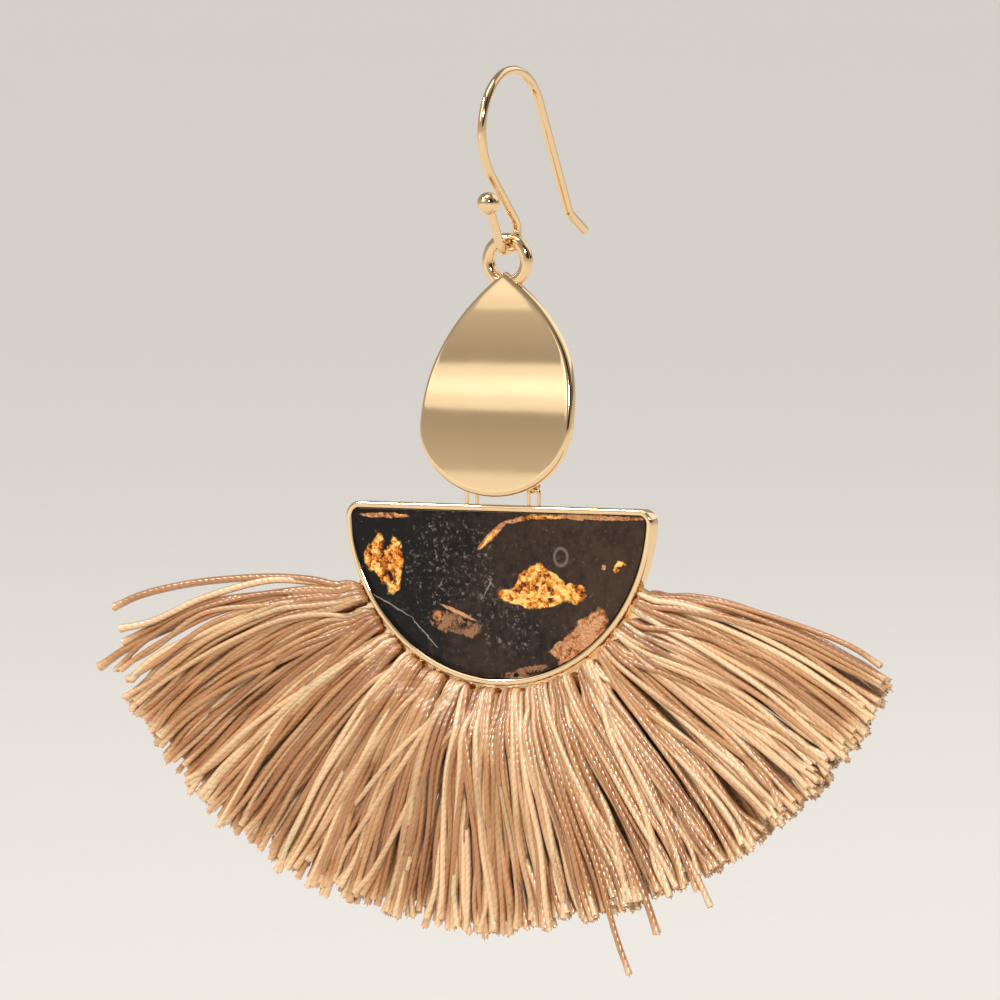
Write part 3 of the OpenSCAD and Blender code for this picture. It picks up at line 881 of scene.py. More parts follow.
class Threads:
    """Gathers the threads of one bundle, with their twist along a UV map and a tone for each thread."""

    def __init__(self):
        self.vertices, self.faces, self.caps, self.twists, self.tones = [], [], [], [], []
        self.count = 0

    def add(self, course, radii, sides, tone, turns):
        """A closed tube along a course. Its tone and turns of twist are one for all rings, or one each."""
        vertices, quads = tube(course, radii, sides)
        rings = len(course)
        turns = np.broadcast_to(turns, rings)
        k, j = np.repeat(np.arange(rings - 1), sides), np.tile(np.arange(sides), rings - 1)
        left, right = j / sides, (j + 1) / sides
        low, high = turns[k], turns[k + 1]
        self.vertices.append(vertices)
        self.faces.append(quads + self.count)
        corners = [left, low, right, low, right, high, left, high]
        self.twists.append(np.stack(corners, axis=-1).reshape(-1, 2))
        self.tones.append(np.repeat(np.broadcast_to(tone, rings), sides))
        first = self.count + np.arange(sides)
        self.caps += [first[::-1].tolist(), (first + (rings - 1) * sides).tolist()]
        self.count += rings * sides

    def fray(self, fringe, course, tone, rng):
        """Short fibres that spread from a thread's cut end."""
        tip = course[-1]
        ahead = tip - course[-3]
        ahead /= np.linalg.norm(ahead)
        for _ in range(FIBRES):
            aside = np.array([rng.gauss(0, 1) for _ in range(3)])
            aside -= ahead * aside.dot(ahead)
            fibre = [tip - ahead * FIBRE_ROOT + aside * fringe.thread_d * FIBRE_ASIDE]
            length = fringe.fibre_len * rng.uniform(*FIBRE_LENGTHS)
            for splay in FIBRE_SPLAYS:
                fibre.append(fibre[-1] + (ahead + aside * splay) * length / 2)
            radii = fringe.fibre_d / 2 * np.array(FIBRE_TAPER)
            # Fibres aren't twisted, so their turns stay the same along them.
            # Fibres are paler than their thread, partly as loose fibres and partly as painted light on the
            # shaded ends.
            self.add(np.array(fibre), radii, sides=3, tone=(1 + tone) / 2, turns=0.25)

    def make_mesh(self, name):
        """The bundle's mesh, with its twist as a UV map and its tones as an attribute."""
        mesh = bpy.data.meshes.new(name)
        quads = np.vstack(self.faces).tolist()
        mesh.from_pydata(np.vstack(self.vertices).tolist(), [], quads + self.caps)
        twist = mesh.uv_layers.new(name="twist")
        flat_caps = np.zeros((sum(len(cap) for cap in self.caps), 2))
        twist.data.foreach_set("uv", np.vstack(self.twists + [flat_caps]).astype(np.float32).ravel())
        tone = mesh.attributes.new("tone", "FLOAT", "POINT")
        tone.data.foreach_set("value", np.concatenate(self.tones).astype(np.float32))
        mesh.polygons.foreach_set("use_smooth", [True] * len(mesh.polygons))
        mesh.set_sharp_from_angle(angle=math.radians(75))
        return mesh


def bundle_mesh(context, bundle, rng):
    """All threads of one bundle, each folded through its hole, with half in front and half behind."""
    moon, fringe = context.scene.half_moon, context.scene.fringe
    own_loose = [row for row in LOOSE if round(row["from"]) == bundle]
    threads = Threads()
    # Neighbours lean in pairs, as threads that cling together do.
    leans = {
        side: [rng.gauss(0, fringe.lean) * (rng.random() < fringe.crossing) for _ in range(fringe.folded)]
        for side in (-1, 1)
    }
    for number in range(fringe.folded):
        slot = number * STRIDE % fringe.folded
        # Threads that lie across the others are painted paler, painted light for the light they catch when
        # not packed in.
        tone = rng.uniform(0, 1 - LEAN_PAINTED_LIGHT) + (LEAN_PAINTED_LIGHT if leans[-1][slot // 2] else 0)
        halves = []
        loose = own_loose[number] if number < len(own_loose) else None
        for side in (-1, 1):
            place = (slot + rng.random()) / fringe.folded - 0.5
            if bundle == moon.bundles - 1:
                # The bundle at the left end fills only the right half of its room.
                place = place / 2 - 0.25
            row = loose if side < 0 else None
            if row:
                place = row["from"] - bundle
            halves.append(half_course(context, bundle, place, side, leans[side][slot // 2], rng, row))
        points = halves[0][::-1] + halves[1][1:]
        head = len(halves[0]) - 1
        in_head = [abs(i + 0.5 - head) <= HEAD_POINTS for i in range(len(points) - 1)]
        spacings = [HEAD_SPACING if inside else RING_SPACING for inside in in_head]
        course = smooth_course(points, spacings)
        along = running_length(course)
        squeeze_at = along[np.argmin(np.linalg.norm(course - np.array(points[head]), axis=1))]
        radii = thread_radii(fringe, along, squeeze_at) * rng.uniform(*THICKNESSES)
        # The cut ends turn paler, partly as loose fibres and partly as painted light on the shaded ends.
        tones = tone + (1 - tone) * TIP_FRAY_AND_PAINTED_LIGHT * near_end(along, fringe.pale_tip)
        if loose:
            radii = radii * np.where(along < squeeze_at, loose["thick"], 1)
        threads.add(course, radii, THREAD_SIDES, tones, along / fringe.twist + rng.random())
        threads.fray(fringe, course, tone, rng)
        threads.fray(fringe, course[::-1], tone, rng)
    return threads.make_mesh(f"thread_bundle_{bundle + 1:02d}")


class EARRING_OT_fringe(Operator):
    """Loops the threads through the flange's holes"""

    bl_idname = "earring.fringe"
    bl_label = "Fringe"

    def execute(self, context):
        material = rayon_thread()
        rng = random.Random(SEED)
        for bundle in range(context.scene.half_moon.bundles):
            mesh = bundle_mesh(context, bundle, rng)
            add_piece(mesh.name, mesh, material, "fan", "fringe")
        return {"FINISHED"}


# Materials

def new_material(name):
    """An empty node material and its surface shader."""
    material = bpy.data.materials.new(name)
    material.use_nodes = True
    tree = material.node_tree
    return material, tree, tree.nodes["Principled BSDF"]


def add_node(tree, kind, settings=None, inputs=None):
    """Adds a node, sets its attributes, and sets or links its inputs."""
    node = tree.nodes.new("ShaderNode" + kind)
    for name, value in (settings or {}).items():
        setattr(node, name, value)
    for name, value in (inputs or {}).items():
        if isinstance(value, bpy.types.NodeSocket):
            tree.links.new(value, node.inputs[name])
        else:
            node.inputs[name].default_value = value
    return node


def set_ramp(ramp, stops):
    """Sets a colour ramp's stops from pairs of position and linear colour."""
    elements = ramp.color_ramp.elements
    while len(elements) < len(stops):
        elements.new(1)
    for element, (position, tone) in zip(elements, stops):
        element.position = position
        element.color = (*tone, 1)


def per_metre(millimetres):
    """Texture scale that repeats about every so many millimetres."""
    return 1 / (millimetres * MM)


def polished_gold(part):
    """Gold-plated brass, polished: mirror bright, with the faint waviness that hand buffing leaves."""
    name = "Gold-plated brass, polished " + part
    if name in bpy.data.materials:
        return bpy.data.materials[name]
    material, tree, surface = new_material(name)
    place = add_node(tree, "TexCoord").outputs["Object"]
    surface.inputs["Base Color"].default_value = (*bpy.context.scene.colours.gold, 1)
    surface.inputs["Metallic"].default_value = 1
    # Buffing leaves hazy and bright patches a few millimetres wide.
    haze = add_node(tree, "TexNoise", inputs={"Vector": place, "Scale": per_metre(3), "Detail": 3})
    rough = add_node(
        tree, "MapRange", inputs={"Value": haze.outputs["Fac"], "To Min": 0.05, "To Max": 0.11}
    )
    tree.links.new(rough.outputs["Result"], surface.inputs["Roughness"])
    # The casting's faint unevenness bends the edges of reflections.
    swell = add_node(tree, "TexNoise", inputs={"Vector": place, "Scale": per_metre(4.5), "Detail": 1})
    bump = add_node(
        tree, "Bump", inputs={"Height": swell.outputs["Fac"], "Strength": 0.35, "Distance": 0.02 * MM}
    )
    tree.links.new(bump.outputs["Normal"], surface.inputs["Normal"])
    return material


def ply_height(tree):
    """How high a two-ply thread's surface stands: 0 in the grooves between its plies, 1 on top."""
    twist = add_node(tree, "UVMap", {"uv_map": "twist"}).outputs["UV"]
    split = add_node(tree, "SeparateXYZ", inputs={"Vector": twist})
    turn_at = add_node(
        tree, "Math", {"operation": "MULTIPLY_ADD"}, {0: split.outputs["Y"], 1: -1.0, 2: split.outputs["X"]}
    )
    angle = add_node(tree, "Math", {"operation": "MULTIPLY"}, {0: turn_at.outputs[0], 1: math.tau})
    wave = add_node(tree, "Math", {"operation": "SINE"}, {0: angle.outputs[0]})
    return add_node(tree, "Math", {"operation": "ABSOLUTE"}, {0: wave.outputs[0]}).outputs[0]


def thread_shade(tree, place, ply, colours):
    """Thread colour that varies between and along threads, with painted sheen and painted shade in the
    grooves.
    """
    tone = add_node(tree, "Attribute", {"attribute_name": "tone"}).outputs["Fac"]
    # Dye and a painted sheen for the lie of the filaments vary along each thread, a few millimetres at a
    # time.
    cloud = add_node(tree, "TexNoise", inputs={"Vector": place, "Scale": per_metre(3.5), "Detail": 2})
    vary_dye_and_sheen = add_node(
        tree, "Math", {"operation": "MULTIPLY_ADD"}, {0: cloud.outputs["Fac"], 1: 0.4, 2: -0.2}
    )
    lie = add_node(
        tree, "Math", {"operation": "ADD", "use_clamp": True}, {0: tone, 1: vary_dye_and_sheen.outputs[0]}
    )
    blend = add_node(tree, "ValToRGB", inputs={"Fac": lie.outputs[0]})
    set_ramp(blend, (
        (0.05, colours.thread_deep), (0.45, colours.thread_mid), (0.95, colours.thread_pale),
    ))
    # Painted shade: the colour darkens in the grooves between the plies.
    groove_shade = add_node(tree, "MapRange", inputs={"Value": ply, "From Max": 0.6, "To Min": 0.82, "To Max": 1})
    return add_node(
        tree, "Mix", {"data_type": "RGBA", "blend_type": "MULTIPLY"},
        {"Factor": 1.0, 6: blend.outputs["Color"], 7: groove_shade.outputs["Result"]},
    ).outputs[2]


def rayon_thread():
    """Rayon, twisted in two plies: smooth filaments that shine along each ply, with painted shade in the
    grooves.
    """
    material, tree, surface = new_material("Rayon thread, two-ply, lustrous")
    place = add_node(tree, "TexCoord").outputs["Object"]
    ply = ply_height(tree)
    shade = thread_shade(tree, place, ply, bpy.context.scene.colours)
    tree.links.new(shade, surface.inputs["Base Color"])
    # Where the filaments lie flat and parallel the thread shines, and elsewhere it is duller.
    gloss = add_node(tree, "TexNoise", inputs={"Vector": place, "Scale": per_metre(1.8), "Detail": 1})
    rough = add_node(tree, "MapRange", inputs={
        "Value": gloss.outputs["Fac"], "From Min": 0.35, "From Max": 0.65, "To Min": 0.3, "To Max": 0.5,
    })
    tree.links.new(rough.outputs[0], surface.inputs["Roughness"])
    # Light that enters a thread comes out warmer beside it, so the shadows between threads glow.
    surface.inputs["Subsurface Weight"].default_value = 0.4
    surface.inputs["Subsurface Radius"].default_value = (1, 0.45, 0.18)
    surface.inputs["Subsurface Scale"].default_value = 0.25 * MM
    surface.inputs["IOR"].default_value = 1.7
    surface.inputs["Specular IOR Level"].default_value = 0.6
    surface.inputs["Coat Weight"].default_value = 1
    surface.inputs["Coat Roughness"].default_value = 0.22
    surface.inputs["Sheen Weight"].default_value = 0.2
    surface.inputs["Sheen Roughness"].default_value = 0.35
    bump = add_node(tree, "Bump", inputs={"Height": ply, "Strength": 0.7, "Distance": 0.045 * MM})
    tree.links.new(bump.outputs["Normal"], surface.inputs["Normal"])
    tree.links.new(bump.outputs["Normal"], surface.inputs["Coat Normal"])
    return material


# Torn foil under the resin. Each row gives a flake's middle across and down from the half-moon's centre and
# its width and height in millimetres, how many degrees its right end is turned up, and what foil it is.
FLAKES = (
    {"foil": "gold", "across": -12.4, "down": 4.1, "width": 1.8, "height": 3.4, "turn": -6},
    {"foil": "gold", "across": -11.4, "down": 5.4, "width": 2.4, "height": 3.0, "turn": 20},
    {"foil": "gold", "across": -10.5, "down": 5.3, "width": 1.8, "height": 5.0, "turn": -4},
    {"foil": "gold", "across": 4.4, "down": 7.4, "width": 8.6, "height": 2.0, "turn": 2},
    {"foil": "gold", "across": 2.9, "down": 6.3, "width": 4.4, "height": 1.6, "turn": 42},
    {"foil": "gold", "across": 5.2, "down": 6.3, "width": 4.8, "height": 1.8, "turn": -30},
    {"foil": "gold", "across": 7.2, "down": 6.9, "width": 3.2, "height": 1.0, "turn": 6},
    {"foil": "gold", "across": 12.0, "down": 4.7, "width": 1.3, "height": 0.6, "turn": 50},
    {"foil": "gold", "across": 12.4, "down": 4.4, "width": 0.9, "height": 0.35, "turn": -30},
    {"foil": "rose", "across": 10.6, "down": 4.8, "width": 0.5, "height": 0.5, "turn": 0},
    {"foil": "bronze", "across": -4.4, "down": 10.1, "width": 5.2, "height": 1.8, "turn": -14},
    {"foil": "copper", "across": -5.9, "down": 9.5, "width": 1.4, "height": 0.9, "turn": 0},
    {"foil": "bronze", "across": 2.7, "down": 14.1, "width": 4.6, "height": 0.8, "turn": 12},
    {"foil": "rose", "across": -4.0, "down": 9.1, "width": 3.8, "height": 0.35, "turn": -20},
    {"foil": "copper", "across": 8.5, "down": 10.9, "width": 6.6, "height": 2.6, "turn": 42},
    {"foil": "copper", "across": 6.6, "down": 12.1, "width": 2.8, "height": 1.5, "turn": 10},
    {"foil": "rose", "across": 9.3, "down": 10.2, "width": 3.4, "height": 1.0, "turn": 42},
    {"foil": "copper", "across": -11.5, "down": 0.85, "width": 5.0, "height": 0.48, "turn": 0},
    {"foil": "gold", "across": -9.9, "down": 0.75, "width": 1.2, "height": 0.2, "turn": 0},
    {"foil": "copper", "across": -0.6, "down": 2.3, "width": 4.0, "height": 0.62, "turn": 42},
    {"foil": "gold", "across": -0.9, "down": 2.6, "width": 2.6, "height": 0.25, "turn": 42},
    {"foil": "copper", "across": 2.3, "down": 0.8, "width": 3.4, "height": 0.45, "turn": 12},
    {"foil": "copper", "across": 9.2, "down": 0.5, "width": 11.6, "height": 0.44, "turn": 0},
    {"foil": "gold", "across": 4.8, "down": 0.62, "width": 4.2, "height": 0.26, "turn": 2},
    {"foil": "dust", "across": -5.0, "down": 4.6, "width": 9.5, "height": 8.2, "turn": 0},
    {"foil": "dust", "across": 0.4, "down": 9.6, "width": 8.0, "height": 5.0, "turn": -40},
    {"foil": "grey", "across": -10.7, "down": 8.7, "width": 4.3, "height": 0.12, "turn": -26},
    {"foil": "grey", "across": -1.0, "down": 6.9, "width": 1.9, "height": 0.12, "turn": 62},
    {"foil": "grey", "across": -0.7, "down": 6.4, "width": 1.1, "height": 0.12, "turn": -48},
    {"foil": "grey", "across": -7.4, "down": 11.0, "width": 4.0, "height": 0.12, "turn": -44},
)
# The bubble's ring is painted light: a grey rim where a bubble in the resin bends the light.
BUBBLE = {"across": 6.3, "down": 4.0, "width": 1.3, "height": 1.5, "turn": 0}  # a bubble's ring
WIDE = 1.0  # flakes at least this high, in millimetres, tear in coarse steps, and thinner ones finely


def torn_place(tree, place, millimetres, shift):
    """Places shifted at random by up to so many millimetres, so that an outline drawn there looks torn."""
    tear = add_node(
        tree, "TexNoise",
        inputs={"Vector": place, "Scale": per_metre(millimetres), "Detail": 3, "Roughness": 0.6},
    )
    shifted = add_node(
        tree, "VectorMath", {"operation": "MULTIPLY_ADD"},
        {0: tear.outputs["Color"], 1: (2 * shift * MM,) * 3, 2: place},
    )
    return add_node(
        tree, "VectorMath", {"operation": "SUBTRACT"}, {0: shifted.outputs[0], 1: (shift * MM,) * 3}
    ).outputs[0]


def spread_from(tree, place, flake):
    """Distance from a flake's middle, as a share of the distance of its outline."""
    spot = add_node(tree, "Mapping", {"vector_type": "TEXTURE"}, {
        "Vector": place,
        "Location": (flake["across"] * MM, 0, moon_place()[0].z - flake["down"] * MM),
        "Rotation": (0, math.radians(-flake["turn"]), 0),
        "Scale": (flake["width"] / 2 * MM, 1, flake["height"] / 2 * MM),
    })
    return add_node(tree, "VectorMath", {"operation": "LENGTH"}, {0: spot.outputs[0]}).outputs["Value"]


def foil_masks(tree, place):
    """A mask for each kind of foil."""
    coarse, fine = torn_place(tree, place, 1.5, 0.75), torn_place(tree, place, 0.7, 0.22)
    masks = {}
    for flake in FLAKES:
        far = spread_from(tree, coarse if flake["height"] >= WIDE else fine, flake)
        inside = add_node(tree, "MapRange", inputs={"Value": far, "From Min": 1.06, "From Max": 0.94})
        mask = inside.outputs[0]
        foil = flake["foil"]
        if foil in masks:
            mask = add_node(tree, "Math", {"operation": "MAXIMUM"}, {0: masks[foil], 1: mask}).outputs[0]
        masks[foil] = mask
    return masks


def crumpled_foil(tree, place):
    """How brightly crumpled foil glints, as painted glints and painted shade in its colour and as the height
    of its relief: flat facets under half a millimetre wide, in bright and dark stretches."""
    folds = add_node(
        tree, "TexVoronoi", {"feature": "F1"},
        {"Vector": torn_place(tree, place, 0.5, 0.2), "Scale": per_metre(0.42), "Detail": 1},
    )
    facet = add_node(tree, "SeparateXYZ", inputs={"Vector": folds.outputs["Color"]}).outputs["X"]
    crumple = add_node(
        tree, "TexNoise", inputs={"Vector": place, "Scale": per_metre(0.5), "Detail": 4, "Roughness": 0.75}
    ).outputs["Fac"]
    stretch = add_node(tree, "TexNoise", inputs={"Vector": place, "Scale": per_metre(2.4), "Detail": 2})
    bright = add_node(tree, "Math", {"operation": "MULTIPLY_ADD"}, {0: facet, 1: 0.45, 2: crumple})
    return add_node(tree, "Math", {"operation": "MULTIPLY_ADD"}, {
        0: stretch.outputs["Fac"], 1: 0.9, 2: bright.outputs[0],
    }).outputs[0]


def foil_tones(tree, glint, across, colours):
    """The colours of the gold, copper and bronze foil, with painted shade in dark folds and painted glints
    on bright ones.
    """
    # The foil at the left end glints less: painted shade, where it turns its face from the light.
    left_painted_shade = add_node(tree, "MapRange", inputs={
        "Value": across, "From Min": -9 * MM, "From Max": -6 * MM, "To Min": 0.54, "To Max": 0.45,
    }).outputs[0]
    level = add_node(tree, "Math", {"operation": "SUBTRACT"}, {0: glint, 1: left_painted_shade}).outputs[0]
    # Each ramp runs from painted shade in the folds to painted glints on facets that face the light.
    stops = {
        "gold": (
            (0.46, colours.resin),
            (0.58, colours.foil_painted_shade),
            (0.78, colours.foil_amber),
            (0.98, colours.foil_painted_glint),
        ),
        "copper": ((0.45, colours.resin_brown), (0.65, colours.foil_copper), (0.95, colours.foil_rose)),
        "bronze": ((0.55, colours.resin), (0.95, colours.foil_bronze)),
    }
    tones = {}
    for foil, row in stops.items():
        ramp = add_node(tree, "ValToRGB", inputs={"Fac": level})
        set_ramp(ramp, row)
        tones[foil] = ramp.outputs["Color"]
    return tones


def clouded_ground(tree, place, across, colours):
    """The dark ground under the resin, browner towards the right, with brown clouds and a finer mottle."""
    cloud = add_node(
        tree, "TexNoise", inputs={"Vector": place, "Scale": per_metre(6), "Detail": 5, "Roughness": 0.6}
    )
    right = add_node(tree, "MapRange", inputs={
        "Value": across, "From Min": -12 * MM, "From Max": 12 * MM, "To Min": -0.14, "To Max": 0.24,
    })
    browner = add_node(
        tree, "Math", {"operation": "MULTIPLY_ADD"}, {0: cloud.outputs["Fac"], 1: 0.6, 2: right.outputs[0]}
    )
    mottle = add_node(
        tree, "TexNoise", inputs={"Vector": place, "Scale": per_metre(0.8), "Detail": 3, "Roughness": 0.7}
    )
    mottled = add_node(tree, "Math", {"operation": "MULTIPLY_ADD"}, {
        0: mottle.outputs["Fac"], 1: 0.65, 2: browner.outputs[0],
    })
    ground = add_node(tree, "ValToRGB", inputs={"Fac": mottled.outputs[0]})
    set_ramp(ground, ((0.56, colours.resin), (0.88, colours.resin_brown)))
    return ground.outputs["Color"]


def foil_dust(tree, place, drifts):
    """A mask of fine specks of foil dust, dense in the drifts and sparse elsewhere."""
    dust = add_node(
        tree, "TexNoise", inputs={"Vector": place, "Scale": per_metre(0.4), "Detail": 3, "Roughness": 0.75}
    )
    thick = add_node(
        tree, "Math", {"operation": "MULTIPLY_ADD"}, {0: drifts, 1: 0.08, 2: dust.outputs["Fac"]}
    )
    return add_node(tree, "MapRange", inputs={
        "Value": thick.outputs[0], "From Min": 0.65, "From Max": 0.78, "To Max": 0.8,
    }).outputs[0]


def painted_bubble_ring(tree, place):
    """A mask of the thin grey ring painted where a bubble in the resin bends the light: a painted
    reflection.
    """
    from_middle = spread_from(tree, place, BUBBLE)
    off_ring = add_node(tree, "Math", {"operation": "SUBTRACT"}, {0: from_middle, 1: 1})
    from_ring = add_node(tree, "Math", {"operation": "ABSOLUTE"}, {0: off_ring.outputs[0]})
    return add_node(tree, "MapRange", inputs={
        "Value": from_ring.outputs[0], "From Min": 0.26, "From Max": 0.12, "To Max": 0.5,
    }).outputs[0]


def foil_resin():
    """Epoxy resin, poured clear over a near-black ground with torn metal foil: the foil glints, crumpled,
    under a smooth wet gloss."""
    material, tree, surface = new_material("Epoxy resin over torn foil, poured gloss")
    colours = bpy.context.scene.colours
    place = add_node(tree, "TexCoord").outputs["Object"]
    across = add_node(tree, "SeparateXYZ", inputs={"Vector": place}).outputs["X"]
    masks = foil_masks(tree, place)
    glint = crumpled_foil(tree, place)
    tones = foil_tones(tree, glint, across, colours)
    shade = clouded_ground(tree, place, across, colours)
    # Each layer lies over those before it.
    for tone, mask in (
        ((*colours.foil_grey, 1), foil_dust(tree, place, masks["dust"])),
        ((*colours.foil_grey, 1), masks["grey"]),
        # A bubble's rim, a painted reflection.
        ((*colours.foil_grey, 1), painted_bubble_ring(tree, place)),
        (tones["bronze"], masks["bronze"]),
        (tones["copper"], masks["copper"]),
        ((*colours.foil_rose, 1), masks["rose"]),
        (tones["gold"], masks["gold"]),
    ):
        layer = add_node(tree, "Mix", {"data_type": "RGBA"}, {"Factor": mask, 6: shade, 7: tone})
        shade = layer.outputs[2]
    tree.links.new(shade, surface.inputs["Base Color"])
    metal = masks["gold"]
    for foil in ("copper", "rose"):
        metal = add_node(tree, "Math", {"operation": "MAXIMUM"}, {0: metal, 1: masks[foil]}).outputs[0]
    # Seen through the resin, the foil is less of a mirror than bare metal.
    shine = add_node(tree, "Math", {"operation": "MULTIPLY"}, {0: metal, 1: 0.6})
    tree.links.new(shine.outputs[0], surface.inputs["Metallic"])
    surface.inputs["Roughness"].default_value = 0.35
    surface.inputs["Specular IOR Level"].default_value = 0
    surface.inputs["Coat Weight"].default_value = 0.38
    surface.inputs["Coat Roughness"].default_value = 0.03
    surface.inputs["Coat IOR"].default_value = 1.5
    relief = add_node(tree, "Math", {"operation": "MULTIPLY"}, {0: glint, 1: metal})
    bump = add_node(
        tree, "Bump", inputs={"Height": relief.outputs[0], "Strength": 0.8, "Distance": 0.35 * MM}
    )
    tree.links.new(bump.outputs["Normal"], surface.inputs["Normal"])
    return material


def matt_paper():
    """Seamless studio paper, matt: an even pale ground with a faint tooth."""
    material, tree, surface = new_material("Studio paper, matt")
    place = add_node(tree, "TexCoord").outputs["Object"]
    tooth = add_node(tree, "TexNoise", inputs={"Vector": place, "Scale": per_metre(2), "Detail": 2})
    pale = bpy.context.scene.colours.floor
    shade = add_node(tree, "ValToRGB", inputs={"Fac": tooth.outputs["Fac"]})
    set_ramp(shade, ((0.0, tuple(c * 0.97 for c in pale)), (1.0, pale)))
    tree.links.new(shade.outputs["Color"], surface.inputs["Base Color"])
    surface.inputs["Roughness"].default_value = 0.9
    return material


# Stage

# Suns, soft cards and dark flags, each at an azimuth and an elevation in degrees. A sun has a spread in
# degrees, and a card its distance and size in metres and its power in watts. A flag darkens part of the sky,
# with the cosines of the angles from its middle at which its edge begins and ends.
SUNS = (
    {"name": "key", "place": (36, 27), "spread": 8, "strength": 2.4},
    {"name": "left_key", "place": (-48, 46), "spread": 8, "strength": 1.3},
)
CARDS = (
    {"name": "front_card", "place": (-30, 33), "distance": 0.9, "size": (0.6, 0.48), "power": 0.6},
    {"name": "front_core", "place": (-30, 34), "distance": 0.9, "size": (0.6, 0.44), "power": 0.44},
    {"name": "low_card", "place": (-30, -2.5), "distance": 0.62, "size": (0.6, 0.066), "power": 0.035},
    {"name": "top_card", "place": (-20, 78), "distance": 0.9, "size": (0.5, 0.5), "power": 1.6},
    {"name": "back_card", "place": (150, 38), "distance": 0.9, "size": (0.9, 0.7), "power": 1.5},
)
FLAGS = (
    {"place": (55, 22), "edge": (0.84, 0.9), "shade": "#2a2624"},
    {"place": (122, 20), "edge": (0.87, 0.93), "shade": "#4a4038"},
)


def direction(azimuth, elevation):
    """Direction from the earring to a place round it."""
    level = math.cos(elevation)
    return Vector((math.sin(azimuth) * level, -math.cos(azimuth) * level, math.sin(elevation)))


def direction_of(row):
    """Direction from the earring to a light or flag."""
    azimuth, elevation = row["place"]
    return direction(math.radians(azimuth), math.radians(elevation))


def aim(obj, target):
    """Turns a light or camera to a target."""
    obj.rotation_euler = (obj.location - target).to_track_quat("Z", "Y").to_euler()


def add_sun(sun, target):
    """A far light, as wide as its spread."""
    data = bpy.data.lights.new(sun["name"], "SUN")
    data.angle = math.radians(sun["spread"])
    data.energy = sun["strength"]
    light = add_object(sun["name"], data)
    light.location = target + direction_of(sun)
    aim(light, target)


def add_card(card, target):
    """A soft rectangular light."""
    data = bpy.data.lights.new(card["name"], "AREA")
    data.shape = "RECTANGLE"
    data.size, data.size_y = card["size"]
    data.energy = card["power"]
    light = add_object(card["name"], data)
    light.location = target + direction_of(card) * card["distance"]
    aim(light, target)


def add_camera(stage):
    """A camera that sees the view's width at the earring."""
    data = bpy.data.cameras.new("camera")
    data.sensor_width = 36
    data.lens = data.sensor_width * stage.distance / stage.view_w
    camera = add_object("camera", data)
    camera.location = stage.target + direction(stage.azimuth, stage.elevation) * stage.distance
    aim(camera, stage.target)
    return camera


def studio_sky(colours):
    """The soft light from all round, with the dark flags in it."""
    world = bpy.data.worlds.new("studio")
    world.use_nodes = True
    tree = world.node_tree
    around = add_node(tree, "TexCoord").outputs["Generated"]
    height = add_node(tree, "SeparateXYZ", inputs={"Vector": around}).outputs["Z"]
    sky = add_node(tree, "ValToRGB", inputs={"Fac": height})
    set_ramp(sky, ((0.0, colours.sky_low), (0.3, colours.sky_middle), (1.0, colours.sky_high)))
    # The flags end above the horizon and draw dark lines along the polished edges.
    above = add_node(tree, "MapRange", inputs={"Value": height, "From Min": 0.1, "From Max": 0.16})
    flagged = sky.outputs["Color"]
    for row in FLAGS:
        begin, full = row["edge"]
        near = add_node(
            tree, "VectorMath", {"operation": "DOT_PRODUCT"}, {0: around, 1: direction_of(row)}
        ).outputs["Value"]
        inside = add_node(tree, "MapRange", inputs={"Value": near, "From Min": begin, "From Max": full})
        flag = add_node(tree, "Math", {"operation": "MULTIPLY"}, {0: inside.outputs[0], 1: above.outputs[0]})
        dark = (*linear(row["shade"]), 1)
        layer = add_node(
            tree, "Mix", {"data_type": "RGBA"}, {"Factor": flag.outputs[0], 6: flagged, 7: dark}
        )
        flagged = layer.outputs[2]
    tree.links.new(flagged, tree.nodes["Background"].inputs["Color"])
    tree.nodes["Background"].inputs["Strength"].default_value = 1
    return world


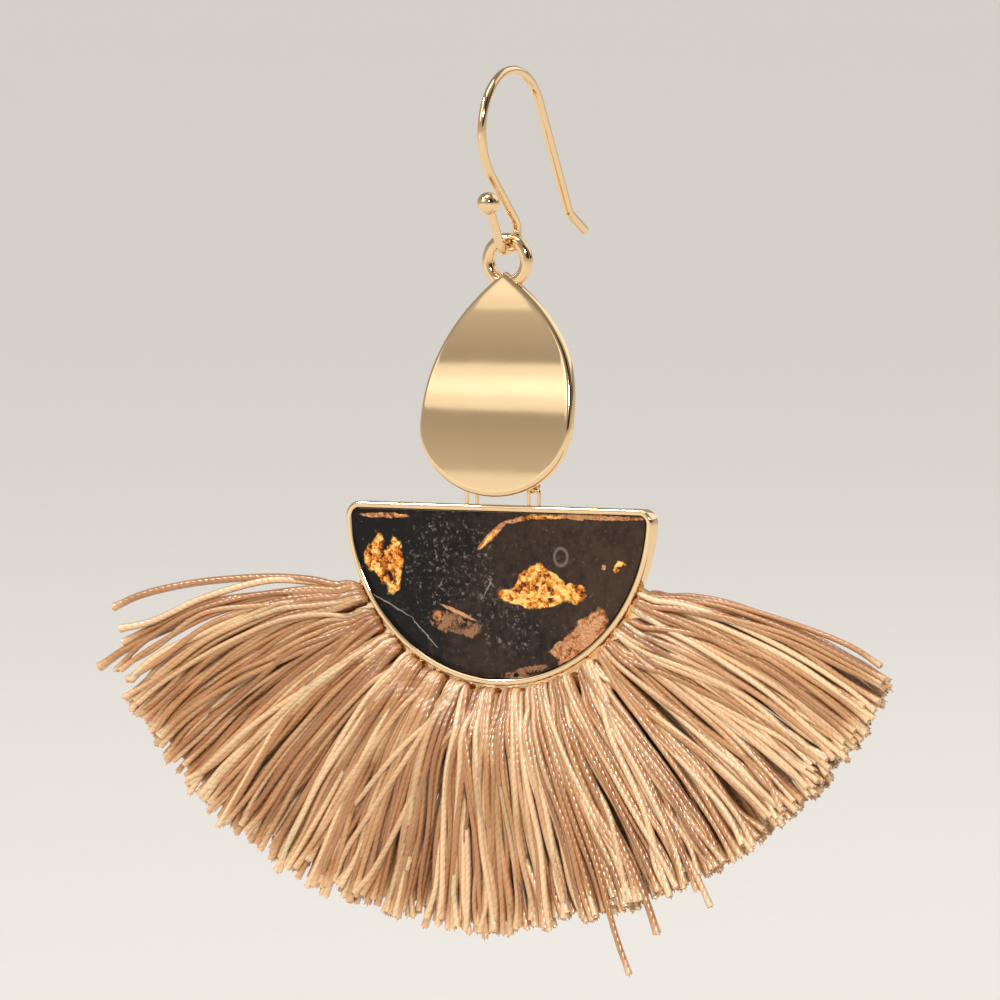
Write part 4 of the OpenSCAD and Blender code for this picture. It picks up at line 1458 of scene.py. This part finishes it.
class EARRING_OT_stage(Operator):
    """Sets up the camera, the lights and the pale floor"""

    bl_idname = "earring.stage"
    bl_label = "Stage"

    def execute(self, context):
        scene, stage = context.scene, context.scene.stage
        scene.camera = add_camera(stage)
        top = cad_box[0].z - stage.floor_drop
        thick = 10 * MM
        rings = [circle(Vector((0, 0, z)), stage.floor_r, X, Y, steps=96) for z in (top - thick, top)]
        floor = Shape()
        floor.add_loft(rings)
        ground = add_object("floor", floor.make_mesh("floor"))
        ground.data.materials.append(matt_paper())

        for sun in SUNS:
            add_sun(sun, stage.target)
        for card in CARDS:
            add_card(card, stage.target)
        scene.world = studio_sky(scene.colours)
        scene.view_settings.view_transform = "Standard"
        return {"FINISHED"}


class EARRING_PT_panel(Panel):
    bl_label = "Tassel earring"
    bl_space_type = "VIEW_3D"
    bl_region_type = "UI"
    bl_category = "Earring"

    def draw(self, context):
        for operator in OPERATORS:
            self.layout.operator(operator.bl_idname)
        for name, group in SETTINGS.items():
            box = self.layout.box()
            box.label(text=name.replace("_", " ").capitalize())
            for setting in group.__annotations__:
                box.prop(getattr(context.scene, name), setting)


SETTINGS = {
    "ear_wire": EarWireSettings,
    "teardrop": TeardropSettings,
    "jump_rings": JumpRingSettings,
    "half_moon": HalfMoonSettings,
    "resin": ResinSettings,
    "fringe": FringeSettings,
    "stage": StageSettings,
    "colours": ColourSettings,
}
OPERATORS = (
    EARRING_OT_ear_wire, EARRING_OT_teardrop, EARRING_OT_jump_rings, EARRING_OT_bezel, EARRING_OT_resin,
    EARRING_OT_fringe, EARRING_OT_stage,
)


def register():
    for group in SETTINGS.values():
        bpy.utils.register_class(group)
    for name, group in SETTINGS.items():
        setattr(bpy.types.Scene, name, PointerProperty(type=group))
    for cls in (*OPERATORS, EARRING_PT_panel):
        bpy.utils.register_class(cls)


def unregister():
    for cls in (EARRING_PT_panel, *reversed(OPERATORS)):
        bpy.utils.unregister_class(cls)
    for name in SETTINGS:
        delattr(bpy.types.Scene, name)
    for group in reversed(SETTINGS.values()):
        bpy.utils.unregister_class(group)


def main():
    register()
    for operator in OPERATORS:
        getattr(bpy.ops.earring, operator.bl_idname.split(".")[1])()


if __name__ == "__main__":
    main()
